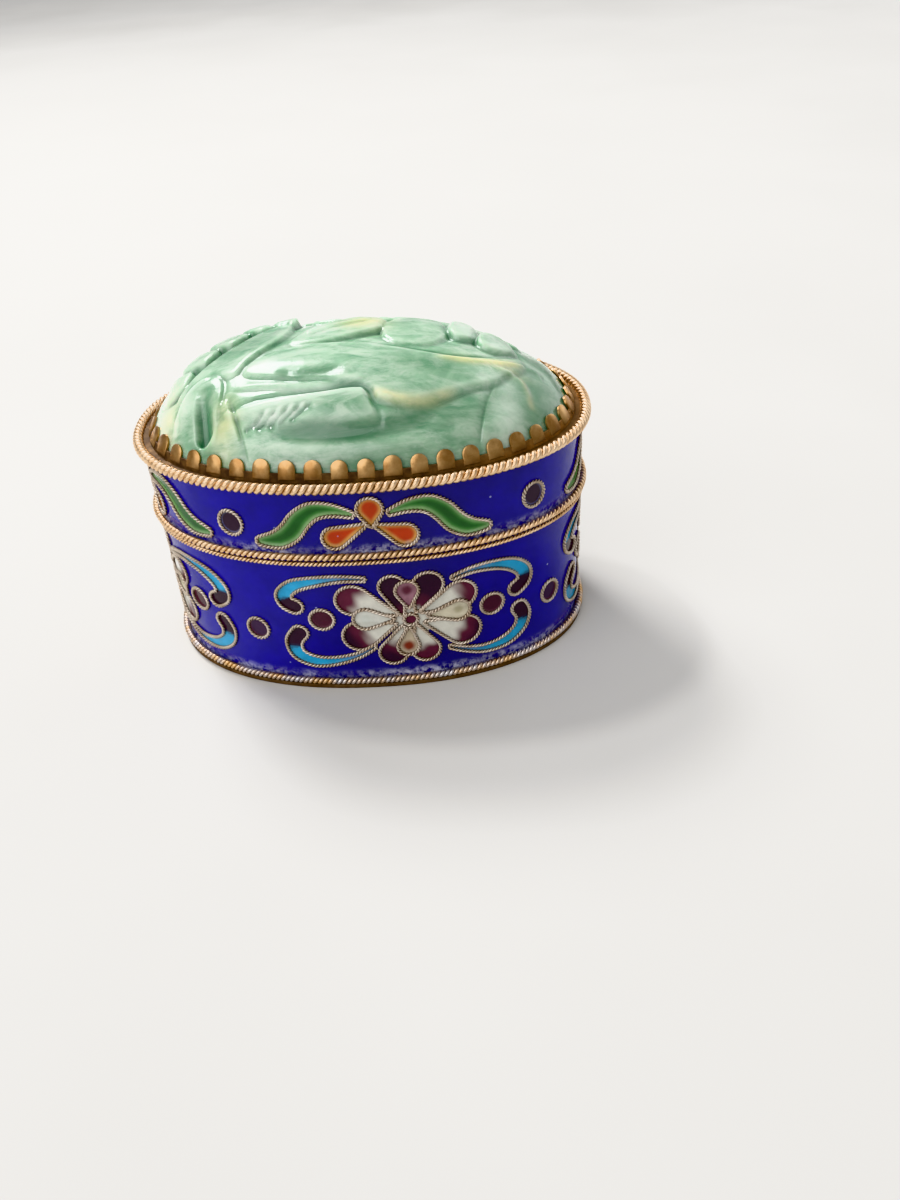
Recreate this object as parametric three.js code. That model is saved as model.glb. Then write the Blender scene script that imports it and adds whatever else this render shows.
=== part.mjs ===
// An oval trinket box. An enamelled metal cup carries a lift-off lid, rope wires bind their edges,
// wire cells stand on the enamel, and a strip of rounded tabs holds a carved jade stone on the lid.
// Millimetres, +Z up. The origin is the centre of the underside, +X runs along the oval's long way
// and the main side looks to -Y.

import * as THREE from 'three';
import { mergeVertices } from 'three/addons/utils/BufferGeometryUtils.js';

// The oval, measured across the enamelled wall
const BOX_LENGTH = 56.9;
const BOX_WIDTH = 36.9;
const OVAL_POWER = 2.19; // 2 would be an ellipse, and more is squarer

// Sheet metal and enamel
const METAL_THICKNESS = 0.75;
const ENAMEL_THICKNESS = 0.45;
const PLATE_THICKNESS = 0.6; // the bottom plate, whose edge shows under the foot rope
const PLATE_MARGIN = 0.8; // how far that edge reaches past the enamel
const BASE_WALL_HEIGHT = 19.95; // from the plate to the rim that the lid rests on
const LID_WALL_HEIGHT = 10.35; // from the lid's lower edge to its top plate
const COLLAR_THICKNESS = 0.6; // the inner collar that guides the lid
const COLLAR_RISE = 2.4;
const COLLAR_DEPTH = 6;

// Fits
const SOLDER_GAP = 0.04; // between pieces that are soldered or fused together
const LID_REST_GAP = 0.05; // between the rim and the lid that rests on it
const COLLAR_CLEARANCE = 0.2;
const ENAMEL_MARGIN = 0.12; // bare metal left above and below each enamel band

// Rope wires, by diameter
const FOOT_ROPE = 1.0;
const RIM_ROPE = 0.66;
const LID_EDGE_ROPE = 1.0;
const LID_TOP_ROPE = 1.4;

// The strip of tabs round the stone
const TAB_COUNT = 46;
const TAB_SHARE = 0.66; // of the pitch, the rest being the gap
const TAB_FLAT_SHARE = 0.5; // how much of a tab's width its top keeps
const TAB_RISE = 1.5; // above the strip between the tabs
const STRIP_HEIGHT = 1.1;
const STRIP_THICKNESS = 0.4;
const STRIP_STAND_OFF = 0.25; // from the stone
const FIRST_TAB_SHARE = 0.45; // of a pitch, from the middle of the front

// The stone
const STONE_INSET = 1.15; // from the enamel's face to the stone's outline at its foot
const DOME_HEIGHT = 10.65;
const DOME_FULLNESS_POWER = 2.6; // how far out the dome stays high
const DOME_STEEPNESS_POWER = 0.7; // 1 would leave the foot at a slant, and less rises more steeply
const TOP_SHIFT = -1.5; // where the top lies along the oval
const CARVING_DEPTH = 2; // from level 0 of the carving to level 1, which is the dome
const CARVING_FADE_SHARE = 0.84; // of the way out, where the carving starts to die into the plain edge
const CARVING_END_SHARE = 0.93;

// Wire cells on the enamel
const WIRE_WIDTH = 0.44;
const WIRE_HEIGHT = 0.3;
const MITRE_RATIO = 0.6; // the least, so that sharp tips don't grow spikes
const WIRE_GAP = 0.08; // under a wire, so that its straight stretches clear the faceted enamel

// How finely round shapes are faceted
const OVAL_SIDES = 36;
const TABLE_STEPS = 40; // per side, for measuring along the curve
const ROPE_SIDES = 5;
const STONE_COLUMNS = 42;
const STONE_ROWS = 28;
const SPINE_STEPS = 12;
const DOT_SIDES = 6;

const HALF_LENGTH = BOX_LENGTH / 2;
const HALF_WIDTH = BOX_WIDTH / 2;
const RIM_Z = PLATE_THICKNESS + BASE_WALL_HEIGHT;
const LID_Z = RIM_Z + LID_REST_GAP;
const LID_TOP_Z = LID_Z + LID_WALL_HEIGHT;
const STONE_Z = LID_TOP_Z + SOLDER_GAP;
const METAL_OUT = -ENAMEL_THICKNESS - SOLDER_GAP; // the metal's outer face, from the enamel's face
const METAL_IN = METAL_OUT - METAL_THICKNESS;
const TURN = 2 * Math.PI;

// Materials
function finish(color, roughness, metalness) {
  return new THREE.MeshStandardMaterial({ color, roughness, metalness });
}
const cupMetal = () => finish(0xb08a58, 0.4, 1);
const ropeMetal = () => finish(0xcda578, 0.35, 1);
const wireMetal = () => finish(0xa39a96, 0.4, 1);
const blueEnamel = () => finish(0x1e1496, 0.15, 0);
const jade = () => finish(0xaacdb4, 0.15, 0);

// The oval
const squarer = (value) => Math.sign(value) * Math.abs(value) ** (2 / OVAL_POWER);

// A point of the outline that lies `out` outside the enamel's face
function ovalPoint(angle, out) {
  const x = (HALF_LENGTH + out) * squarer(Math.cos(angle));
  const y = (HALF_WIDTH + out) * squarer(Math.sin(angle));
  return new THREE.Vector2(x, y);
}

const OVAL_TABLE = OVAL_SIDES * TABLE_STEPS;
const tableAngle = (i) => (i / OVAL_TABLE - 0.25) * TURN;
const lengthSoFar = [0];
for (let i = 1; i <= OVAL_TABLE; i++) {
  const step = ovalPoint(tableAngle(i), 0).distanceTo(ovalPoint(tableAngle(i - 1), 0));
  lengthSoFar.push(lengthSoFar[i - 1] + step);
}
const PERIMETER = lengthSoFar[OVAL_TABLE];

// The outline's angle at a share of the way round, from the middle of the front towards +X
function angleAt(share) {
  const length = (share - Math.floor(share)) * PERIMETER;
  const next = Math.max(1, lengthSoFar.findIndex((sofar) => sofar >= length));
  const part = (length - lengthSoFar[next - 1]) / (lengthSoFar[next] - lengthSoFar[next - 1]);
  return tableAngle(next - 1 + part);
}

// The direction that points straight away from the wall
function outwardAt(share) {
  const [before, after] = [-1, 1].map((side) => ovalPoint(angleAt(share + side / OVAL_TABLE), 0));
  return new THREE.Vector2(after.y - before.y, before.x - after.x).normalize();
}

// A section swept round the oval. Each of its [out, z] pairs lies `out` outside the enamel's face,
// and a pair with out null lies on the axis.
const cornerAngle = (i) => (i / OVAL_SIDES - 0.25) * TURN;

function sweptRound(section) {
  const profile = section.map(([out, z]) => new THREE.Vector2(out === null ? 0 : HALF_WIDTH + out, z));
  const geometry = new THREE.LatheGeometry(profile, OVAL_SIDES);
  const place = geometry.getAttribute('position');
  for (let i = 0; i < place.count; i++) {
    const [out, z] = section[i % section.length];
    const angle = cornerAngle(Math.floor(i / section.length) % OVAL_SIDES);
    const spot = out === null ? new THREE.Vector2() : ovalPoint(angle, out);
    place.setXYZ(i, spot.x, spot.y, z);
  }
  return geometry;
}

const closed = (section) => [...section, section[0]];

function ropeRing(z, diameter) {
  const out = SOLDER_GAP + diameter / 2;
  const section = [];
  for (let i = 0; i < ROPE_SIDES; i++) {
    const angle = ((i + 0.5) / ROPE_SIDES) * TURN;
    section.push([out + (diameter / 2) * Math.cos(angle), z + (diameter / 2) * Math.sin(angle)]);
  }
  return sweptRound(closed(section));
}

function enamelBand(low, high) {
  return sweptRound(closed([[-ENAMEL_THICKNESS, low], [0, low], [0, high], [-ENAMEL_THICKNESS, high]]));
}

// The cup, with its bottom plate, its rim and the collar that the lid slips over
function baseCup() {
  const collarOut = METAL_IN - COLLAR_CLEARANCE;
  const collarIn = collarOut - COLLAR_THICKNESS;
  const floor = PLATE_THICKNESS + METAL_THICKNESS;
  return sweptRound([
    [null, 0],
    [PLATE_MARGIN, 0],
    [PLATE_MARGIN, PLATE_THICKNESS],
    [METAL_OUT, PLATE_THICKNESS],
    [METAL_OUT, RIM_Z],
    [collarOut, RIM_Z],
    [collarOut, RIM_Z + COLLAR_RISE],
    [collarIn, RIM_Z + COLLAR_RISE],
    [collarIn, RIM_Z - COLLAR_DEPTH],
    [METAL_IN, RIM_Z - COLLAR_DEPTH],
    [METAL_IN, floor],
    [null, floor],
  ]);
}

// The lid, open below
function lidShell() {
  const ceiling = LID_TOP_Z - METAL_THICKNESS;
  return sweptRound([
    [null, ceiling],
    [METAL_IN, ceiling],
    [METAL_IN, LID_Z],
    [METAL_OUT, LID_Z],
    [METAL_OUT, LID_TOP_Z],
    [null, LID_TOP_Z],
  ]);
}

// The stone's dome: its height at a share of the way out from its middle, and the other way round
const domeHeight = (reach) => DOME_HEIGHT * (1 - reach ** DOME_FULLNESS_POWER) ** DOME_STEEPNESS_POWER;
function domeReach(height) {
  const steepness = (height / DOME_HEIGHT) ** (1 / DOME_STEEPNESS_POWER);
  return (1 - steepness) ** (1 / DOME_FULLNESS_POWER);
}

// The strip stands off the stone at every height, so that its tabs lean in with the dome
function tabStrip() {
  const shoulder = (TAB_SHARE * TAB_FLAT_SHARE) / 2;
  const stations = [
    { along: -TAB_SHARE / 2, rise: 0 },
    { along: -shoulder, rise: TAB_RISE },
    { along: shoulder, rise: TAB_RISE },
    { along: TAB_SHARE / 2, rise: 0 },
  ];
  const section = closed([[0, 0], [1, 0], [1, 1], [0, 1]]);
  const profile = section.map(([across, up]) => new THREE.Vector2(HALF_WIDTH + across, up));
  const geometry = new THREE.LatheGeometry(profile, TAB_COUNT * stations.length);
  const place = geometry.getAttribute('position');
  for (let i = 0; i < place.count; i++) {
    const [across, up] = section[i % section.length];
    const column = Math.floor(i / section.length) % (TAB_COUNT * stations.length);
    const { along, rise } = stations[column % stations.length];
    const share = (Math.floor(column / stations.length) + FIRST_TAB_SHARE + along) / TAB_COUNT;
    const height = up * (STRIP_HEIGHT + rise);
    const spot = ovalPoint(angleAt(share), -STONE_INSET).multiplyScalar(domeReach(height));
    spot.addScaledVector(outwardAt(share), STRIP_STAND_OFF + across * STRIP_THICKNESS);
    place.setXYZ(i, spot.x, spot.y, STONE_Z + height);
  }
  return geometry;
}

// The carving, from the bottom layer to the top one. Each leaf lies along a curved spine of three
// points. Places are shares of the stone's half length and half width, and `half` is a leaf's
// greatest half width as a share of the stone's. A leaf's rise is the level of its middle.
const LEAVES = [
  { name: 'shoulder strip', spine: [[-0.8, -0.06], [-0.62, 0.34], [-0.28, 0.4]], half: 0.16, rise: 0.8 },
  { name: 'back leaf', spine: [[0.72, 0.3], [0.2, 0.7], [-0.4, 0.56]], half: 0.22, rise: 0.85 },
  { name: 'back petal', spine: [[-0.5, 0.62], [-0.1, 0.9], [0.34, 0.76]], half: 0.11, rise: 0.6 },
  { name: 'curl', spine: [[-0.86, -0.42], [-0.76, 0.02], [-0.5, 0.1]], half: 0.15, rise: 0.75 },
  { name: 'end stem', spine: [[0.62, -0.5], [0.9, -0.28], [0.82, 0.14]], half: 0.13, rise: 0.7 },
  { name: 'lower petal', spine: [[0, -0.72], [0.4, -0.78], [0.66, -0.46]], half: 0.11, rise: 0.6 },
  { name: 'veined leaf', spine: [[-0.56, -0.5], [-0.3, -0.74], [0.06, -0.7]], half: 0.13, rise: 0.7 },
  { name: 'crown petal', spine: [[-0.46, 0.02], [-0.16, 0.3], [0.14, 0.2]], half: 0.2, rise: 1 },
  { name: 'crown bulge', spine: [[0, 0.22], [0.24, 0.36], [0.46, 0.16]], half: 0.17, rise: 0.95 },
  { name: 'bud', spine: [[0.42, 0.06], [0.5, 0.12], [0.58, 0.08]], half: 0.13, rise: 1 },
  { name: 'end bud', spine: [[0.58, 0], [0.68, 0.06], [0.78, 0]], half: 0.12, rise: 0.8 },
  { name: 'broad leaf', spine: [[-0.5, -0.24], [0.1, -0.52], [0.74, -0.1]], half: 0.27, rise: 0.95 },
];
const LOBES = { count: 6, path: [[-0.84, -0.02], [-0.72, 0.66], [-0.22, 0.66]], radius: 0.15, rise: 0.85 };
const GROUND = 0.45; // the level between the leaves
const LEAF_EDGE = 0.72; // a leaf's level at its edge, as a share of its rise
const LEAF_TIP = 0.1; // how blunt its tips are, and 0 is sharp
const GROOVE = { wide: 0.13, deep: 0.5 }; // cut round each leaf, its width a share of the half width
const SLOT = { at: [-0.68, -0.6], half: [0.05, 0.12], deep: 1.2 };
const FACET = { top: [0.63, -0.4], foot: [0.55, -0.84], wide: 0.4, deep: 0.3 };

const STONE_HALF_LENGTH = HALF_LENGTH - STONE_INSET;
const STONE_HALF_WIDTH = HALF_WIDTH - STONE_INSET;
const onStone = ([x, y]) => new THREE.Vector2(x * STONE_HALF_LENGTH, y * STONE_HALF_WIDTH);

const leaves = LEAVES.map((leaf) => ({
  ...leaf,
  points: new THREE.QuadraticBezierCurve(...leaf.spine.map(onStone)).getPoints(SPINE_STEPS),
}));
const lobePath = new THREE.QuadraticBezierCurve(...LOBES.path.map(onStone));
const lobes = lobePath.getSpacedPoints(LOBES.count - 1);

// How far a point lies past a leaf's edge, and its share of the way out from the leaf's spine
function placeOnLeaf(leaf, spot) {
  let nearest = { gap: Infinity, along: 0 };
  leaf.points.slice(1).forEach((end, i) => {
    const start = leaf.points[i];
    const run = end.clone().sub(start);
    const part = THREE.MathUtils.clamp(spot.clone().sub(start).dot(run) / run.lengthSq(), 0, 1);
    const gap = spot.distanceTo(start.clone().addScaledVector(run, part));
    if (gap < nearest.gap) nearest = { gap, along: (i + part) / SPINE_STEPS };
  });
  const swell = Math.sin(Math.PI * THREE.MathUtils.lerp(LEAF_TIP, 1 - LEAF_TIP, nearest.along));
  const half = leaf.half * STONE_HALF_WIDTH * swell;
  return { past: nearest.gap - half, across: nearest.gap / half };
}

// A raised form laid over the level so far, with a groove cut round it
function laidOver(level, rise, { past, across }) {
  if (past < 0) return rise * (1 - (1 - LEAF_EDGE) * across ** 2);
  return level - GROOVE.deep * rise * Math.max(0, 1 - past / (GROOVE.wide * STONE_HALF_WIDTH));
}

// The carving's level at a point
function carving(spot) {
  const radius = LOBES.radius * STONE_HALF_WIDTH;
  let level = GROUND;
  for (const lobe of lobes) {
    const gap = spot.distanceTo(lobe);
    level = laidOver(level, LOBES.rise, { past: gap - radius, across: gap / radius });
  }
  for (const leaf of leaves) {
    level = laidOver(level, leaf.rise, placeOnLeaf(leaf, spot));
  }
  const fromSlot = spot.clone().sub(onStone(SLOT.at)).divide(onStone(SLOT.half)).length();
  const slot = SLOT.deep * THREE.MathUtils.clamp(2 * (1 - fromSlot), 0, 1);
  return level - slot - facetCut(spot);
}

// A shallow flat cut to the right of a slanting line on the front
function facetCut(spot) {
  const top = onStone(FACET.top);
  const line = onStone(FACET.foot).sub(top);
  const from = spot.clone().sub(top);
  const [along, side] = [from.dot(line) / line.lengthSq(), line.cross(from) / line.length()];
  const fall = Math.max(0, 1 - side / (FACET.wide * STONE_HALF_WIDTH));
  return along > 0 && side > 0 ? FACET.deep * fall : 0;
}

// The stone: a grid laid over the oval, lifted to the dome and its carving, and closed below
function jadeStone() {
  const geometry = new THREE.PlaneGeometry(2, 2, STONE_COLUMNS, STONE_ROWS);
  const grid = geometry.getAttribute('position');
  const points = [];
  for (let i = 0; i < grid.count; i++) {
    const [u, v] = [grid.getX(i), grid.getY(i)];
    const disc = new THREE.Vector2(u * Math.sqrt(1 - v ** 2 / 2), v * Math.sqrt(1 - u ** 2 / 2));
    const reach = Math.min(1, disc.length());
    const spot = ovalPoint(disc.angle(), -STONE_INSET).multiplyScalar(reach);
    spot.x += TOP_SHIFT * (1 - reach ** 2);
    const kept = 1 - THREE.MathUtils.smoothstep(reach, CARVING_FADE_SHARE, CARVING_END_SHARE);
    const lift = kept * CARVING_DEPTH * (carving(spot) - 1);
    points.push(spot.x, spot.y, STONE_Z + domeHeight(reach) + lift);
  }
  const border = [];
  const wide = STONE_COLUMNS + 1;
  for (let column = 0; column < STONE_COLUMNS; column++) border.push(column);
  for (let row = 0; row < STONE_ROWS; row++) border.push(row * wide + STONE_COLUMNS);
  for (let column = STONE_COLUMNS; column > 0; column--) border.push(STONE_ROWS * wide + column);
  for (let row = STONE_ROWS; row > 0; row--) border.push(row * wide);
  const faces = [...geometry.getIndex().array];
  border.forEach((corner, i) => faces.push(grid.count, corner, border[(i + 1) % border.length]));
  points.push(0, 0, STONE_Z);
  const stone = new THREE.BufferGeometry();
  stone.setAttribute('position', new THREE.Float32BufferAttribute(points, 3));
  stone.setIndex(faces);
  return stone;
}

// Wires on the wall. A spot on the wall is [along, up] in millimetres, along being measured round
// the enamel's face from the middle of the front.
const cornerAlong = (corner) => {
  const rounds = Math.floor(corner / OVAL_SIDES);
  return rounds * PERIMETER + lengthSoFar[(corner - rounds * OVAL_SIDES) * TABLE_STEPS];
};

function cornerBefore(along) {
  let corner = Math.floor((along / PERIMETER) * OVAL_SIDES) - OVAL_SIDES;
  while (cornerAlong(corner + 1) <= along) corner++;
  return corner;
}

function onWall(along, up, out) {
  const before = cornerBefore(along);
  const ends = [before, before + 1].map((corner) => {
    const outward = outwardAt(cornerAlong(corner) / PERIMETER);
    return ovalPoint(cornerAngle(corner), 0).addScaledVector(outward, WIRE_GAP + out);
  });
  const part = (along - cornerAlong(before)) / (cornerAlong(before + 1) - cornerAlong(before));
  const spot = ends[0].lerp(ends[1], part);
  return [spot.x, spot.y, up];
}

// Points to add between two spots, where a straight wire would cut too deep across a corner of
// the faceted wall
function cornersBetween(spot, next) {
  const [first, last] = [spot.x, next.x].sort((a, b) => a - b);
  const parts = [];
  for (let corner = cornerBefore(first) + 1; cornerAlong(corner) < last; corner++) {
    const at = cornerAlong(corner);
    const flats = [corner - 1, corner + 1].map((other) => (at + cornerAlong(other)) / 2 / PERIMETER);
    const [into, away] = flats.map(outwardAt);
    const part = (at - spot.x) / (next.x - spot.x);
    const depth = part * (1 - part) * (last - first) * Math.abs(into.cross(away));
    if (depth > WIRE_GAP / 2) parts.push(part);
  }
  return parts.sort((a, b) => a - b).map((part) => spot.clone().lerp(next, part));
}

// One wire bent along a line on the wall, three-sided with its flat side on the enamel. A closed
// line joins its end to its start, and an open one is capped.
function wire(line, isClosed) {
  const spots = line.flatMap((spot, i) => {
    const last = i === line.length - 1;
    return last && !isClosed ? [spot] : [spot, ...cornersBetween(spot, line[(i + 1) % line.length])];
  });
  const count = spots.length;
  const points = spots.flatMap((spot, i) => {
    const before = isClosed || i > 0 ? spots[(i + count - 1) % count] : spot;
    const after = isClosed || i < count - 1 ? spots[(i + 1) % count] : spot;
    const into = spot.clone().sub(before).normalize();
    const away = after.clone().sub(spot).normalize();
    const side = into.add(away).normalize();
    const mitre = before === spot || after === spot ? 1 : 1 / Math.max(MITRE_RATIO, side.dot(away));
    const across = new THREE.Vector2(-side.y, side.x).multiplyScalar((mitre * WIRE_WIDTH) / 2);
    return [
      onWall(spot.x - across.x, spot.y - across.y, 0),
      onWall(spot.x, spot.y, WIRE_HEIGHT),
      onWall(spot.x + across.x, spot.y + across.y, 0),
    ].flat();
  });
  const faces = isClosed ? [] : [0, 1, 2, 3 * count - 1, 3 * count - 2, 3 * count - 3];
  for (let i = 0; i < count - Number(!isClosed); i++) {
    for (let k = 0; k < 3; k++) {
      const [near, far] = [3 * i, 3 * ((i + 1) % count)];
      const [a, b] = [k, (k + 1) % 3];
      faces.push(near + a, far + a, near + b, near + b, far + a, far + b);
    }
  }
  const geometry = new THREE.BufferGeometry();
  geometry.setAttribute('position', new THREE.Float32BufferAttribute(points, 3));
  geometry.setIndex(faces);
  return geometry;
}

// Motifs are drawn in shares: across, of the way from one motif to the next, and up, of the wall's
// height. Their lines are in millimetres from the motif's middle.
const SIDES = ['front', 'right', 'back', 'left'];
const MOTIF_PITCH = PERIMETER / SIDES.length;
const onBaseWall = ([x, y]) => new THREE.Vector2(x * MOTIF_PITCH, y * BASE_WALL_HEIGHT);
const onLidWall = ([x, y]) => new THREE.Vector2(x * MOTIF_PITCH, y * LID_WALL_HEIGHT);

// A ring of points round an oval with these half sizes, drawn in or out by each share in turn
function ringLine([wide, high], count, shares) {
  return Array.from({ length: count }, (_, i) => {
    const angle = (i / count) * TURN;
    const out = shares[i % shares.length];
    return new THREE.Vector2(wide * out * Math.cos(angle), high * out * Math.sin(angle));
  });
}

// The base's flower, a scroll to each of its corners and the dot between two flowers
const FLOWER = { size: [0.26, 0.38], lobes: 8, lobe: [0.76, 1, 1] };
const SCROLL = { spine: [[0.15, 0.31], [0.27, 0.36], [0.48, 0.45], [0.385, 0.09]], steps: 6 };
const SPACER_DOT = [0.042, 0.095];
const CORNERS = [[1, 1], [-1, 1], [-1, -1], [1, -1]];

const flowerSize = onBaseWall(FLOWER.size).toArray();
const flowerLine = () => ringLine(flowerSize, FLOWER.lobes * FLOWER.lobe.length, FLOWER.lobe);

function scrollLine([sideways, upright]) {
  const spine = SCROLL.spine.map(([x, y]) => onBaseWall([x * sideways, y * upright]));
  return new THREE.CubicBezierCurve(...spine).getPoints(SCROLL.steps);
}

// The lid's three petals in one outline, one of its two leaves and the dot between two motifs.
// A petal is `half` of its length wide to each side, and a leaf's half widths are at its start, at
// its middle and at its end, in shares of the wall's height.
const PETALS = { tips: [[0, 0.31], [-0.132, -0.29], [0.132, -0.29]], half: 0.3 };
const PETAL = [[0.1, -0.5], [0.6, -1], [1, -0.5], [1, 0.5], [0.6, 1]]; // shares of length and half
const LEAF = {
  spine: [[0.055, 0.12], [0.236, 0.5], [0.225, -0.24], [0.39, -0.27]],
  widths: [0.05, 0.06, 0.07],
  steps: 4,
};
const LID_DOT = [0.047, 0.19];

function petalsLine() {
  return PETALS.tips.map(onLidWall).flatMap((tip) => {
    const side = new THREE.Vector2(-tip.y, tip.x).multiplyScalar(PETALS.half);
    return PETAL.map(([along, across]) => tip.clone().multiplyScalar(along).addScaledVector(side, across));
  });
}

function leafLine(sideways) {
  const curve = new THREE.CubicBezierCurve(...LEAF.spine.map(([x, y]) => onLidWall([x * sideways, y])));
  const [first, middle, last] = LEAF.widths.map((width) => width * LID_WALL_HEIGHT);
  const sides = [[], []];
  for (let i = 0; i <= LEAF.steps; i++) {
    const part = i / LEAF.steps;
    const tangent = curve.getTangent(part);
    const half = THREE.MathUtils.lerp(first, last, part) + 4 * part * (1 - part) * middle;
    const across = new THREE.Vector2(-tangent.y, tangent.x).multiplyScalar(half);
    sides[0].push(curve.getPoint(part).add(across));
    sides[1].unshift(curve.getPoint(part).sub(across));
  }
  return sides.flat();
}

const dotLine = (size) => ringLine(size.toArray(), DOT_SIDES, [1]);

// Where the motifs stand, as shares of the way round from the middle of the front
const FLOWERS_AT = [0.033, 0.299, 0.533, 0.764];
const PETALS_AT = [0.01, 0.285, 0.523, 0.775];

const box = new THREE.Group();
const base = new THREE.Group();
const lid = new THREE.Group();
box.add(base, lid);

function addPiece(group, name, geometry, material) {
  geometry.deleteAttribute('normal');
  geometry.deleteAttribute('uv');
  const mesh = new THREE.Mesh(mergeVertices(geometry), material);
  mesh.name = name;
  group.add(mesh);
}

const baseMiddle = PLATE_THICKNESS + BASE_WALL_HEIGHT / 2;
const lidMiddle = LID_Z + LID_WALL_HEIGHT / 2;
const footRopeZ = PLATE_THICKNESS + SOLDER_GAP + FOOT_ROPE / 2;
const rimRopeZ = RIM_Z - ENAMEL_MARGIN - RIM_ROPE / 2;
const lidEdgeRopeZ = LID_Z + ENAMEL_MARGIN + LID_EDGE_ROPE / 2;

addPiece(base, 'base_cup', baseCup(), cupMetal());
const footZ = PLATE_THICKNESS + ENAMEL_MARGIN;
addPiece(base, 'base_enamel', enamelBand(footZ, RIM_Z - ENAMEL_MARGIN), blueEnamel());
addPiece(base, 'base_foot_rope', ropeRing(footRopeZ, FOOT_ROPE), ropeMetal());
addPiece(base, 'base_rim_rope', ropeRing(rimRopeZ, RIM_ROPE), ropeMetal());

addPiece(lid, 'lid_shell', lidShell(), cupMetal());
addPiece(lid, 'lid_enamel', enamelBand(LID_Z + ENAMEL_MARGIN, LID_TOP_Z - ENAMEL_MARGIN), blueEnamel());
addPiece(lid, 'lid_edge_rope', ropeRing(lidEdgeRopeZ, LID_EDGE_ROPE), ropeMetal());
addPiece(lid, 'lid_top_rope', ropeRing(LID_TOP_Z, LID_TOP_ROPE), ropeMetal());
addPiece(lid, 'lid_tab_strip', tabStrip(), ropeMetal());
addPiece(lid, 'lid_jade_stone', jadeStone(), jade());

// The middle of the gap after motif `i`, as a share of the way round
function gapAfter(places, i) {
  const next = i + 1 < places.length ? places[i + 1] : places[0] + 1;
  return (places[i] + next) / 2;
}

// A wire bent along a motif's line, with the motif's middle at a share of the way round
function addWire(group, name, line, share, middle, isClosed = true) {
  const origin = new THREE.Vector2(share * PERIMETER, middle);
  const placed = line.map((spot) => spot.clone().add(origin));
  addPiece(group, name, wire(placed, isClosed), wireMetal());
}

SIDES.forEach((side, i) => {
  addWire(base, `base_flower_wire_${side}`, flowerLine(), FLOWERS_AT[i], baseMiddle);
  CORNERS.forEach((corner, k) => {
    const name = `base_scroll_wire_${k + 1}_${side}`;
    addWire(base, name, scrollLine(corner), FLOWERS_AT[i], baseMiddle, false);
  });
  const baseDot = dotLine(onBaseWall(SPACER_DOT));
  addWire(base, `base_dot_after_${side}`, baseDot, gapAfter(FLOWERS_AT, i), baseMiddle);

  addWire(lid, `lid_petal_wire_${side}`, petalsLine(), PETALS_AT[i], lidMiddle);
  addWire(lid, `lid_leaf_wire_a_${side}`, leafLine(-1), PETALS_AT[i], lidMiddle);
  addWire(lid, `lid_leaf_wire_b_${side}`, leafLine(1), PETALS_AT[i], lidMiddle);
  const lidDot = dotLine(onLidWall(LID_DOT));
  addWire(lid, `lid_dot_after_${side}`, lidDot, gapAfter(PETALS_AT, i), lidMiddle);
});

export default box;
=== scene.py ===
"""An oval enamelled trinket box with rope edging, flowers drawn in wire and a carved jade dome."""
import math
from collections import namedtuple

import bpy
import numpy as np
from mathutils import Matrix, Vector


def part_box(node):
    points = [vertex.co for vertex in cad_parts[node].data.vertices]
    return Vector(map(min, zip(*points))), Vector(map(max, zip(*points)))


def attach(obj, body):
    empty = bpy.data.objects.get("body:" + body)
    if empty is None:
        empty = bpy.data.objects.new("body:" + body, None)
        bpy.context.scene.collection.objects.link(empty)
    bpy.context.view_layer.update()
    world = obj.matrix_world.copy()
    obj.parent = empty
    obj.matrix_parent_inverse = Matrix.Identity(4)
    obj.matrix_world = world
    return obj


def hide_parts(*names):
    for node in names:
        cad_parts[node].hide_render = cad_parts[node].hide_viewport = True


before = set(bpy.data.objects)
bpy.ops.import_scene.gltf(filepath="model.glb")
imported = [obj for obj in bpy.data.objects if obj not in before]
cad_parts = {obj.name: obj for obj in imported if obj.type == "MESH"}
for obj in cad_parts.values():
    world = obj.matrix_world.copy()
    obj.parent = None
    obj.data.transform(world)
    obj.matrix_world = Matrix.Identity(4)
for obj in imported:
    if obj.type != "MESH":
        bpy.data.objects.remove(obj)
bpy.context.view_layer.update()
MM = 0.001
TURN = 2 * math.pi

# The outline, measured across the enamelled wall
OVAL_POWER = 2.19
ENAMEL_LOW, ENAMEL_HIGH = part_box("base_enamel")
LID_ENAMEL_LOW, LID_ENAMEL_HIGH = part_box("lid_enamel")
HALF_LENGTH, HALF_WIDTH = ENAMEL_HIGH.x, ENAMEL_HIGH.y
ENAMEL_MARGIN = 0.12 * MM
ENAMEL_THICKNESS = 0.45 * MM
METAL_THICKNESS = 0.75 * MM
SOLDER_GAP = 0.04 * MM

# Levels
PLATE_TOP = ENAMEL_LOW.z - ENAMEL_MARGIN
RIM = ENAMEL_HIGH.z + ENAMEL_MARGIN
LID_FOOT = LID_ENAMEL_LOW.z - ENAMEL_MARGIN
LID_TOP = LID_ENAMEL_HIGH.z + ENAMEL_MARGIN
BASE_WALL = RIM - PLATE_TOP
LID_WALL = LID_TOP - LID_FOOT

# The outline as a table from the middle of the front, through +X, back to the middle of the front
TABLE_STEPS = 7200
TABLE_ANGLES = np.linspace(-TURN / 4, TURN * 3 / 4, TABLE_STEPS + 1)


def oval(angle, out=0.0):
    """Points of the outline that lie `out` outside the enamel's face."""
    c, s = np.cos(angle), np.sin(angle)
    x = (HALF_LENGTH + out) * np.sign(c) * np.abs(c) ** (2 / OVAL_POWER)
    y = (HALF_WIDTH + out) * np.sign(s) * np.abs(s) ** (2 / OVAL_POWER)
    return np.stack([x, y], -1)


TABLE_SPOTS = oval(TABLE_ANGLES)
TABLE_LENGTHS = np.concatenate([[0], np.cumsum(np.hypot(*np.diff(TABLE_SPOTS, axis=0).T))])
PERIMETER = TABLE_LENGTHS[-1]


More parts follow.
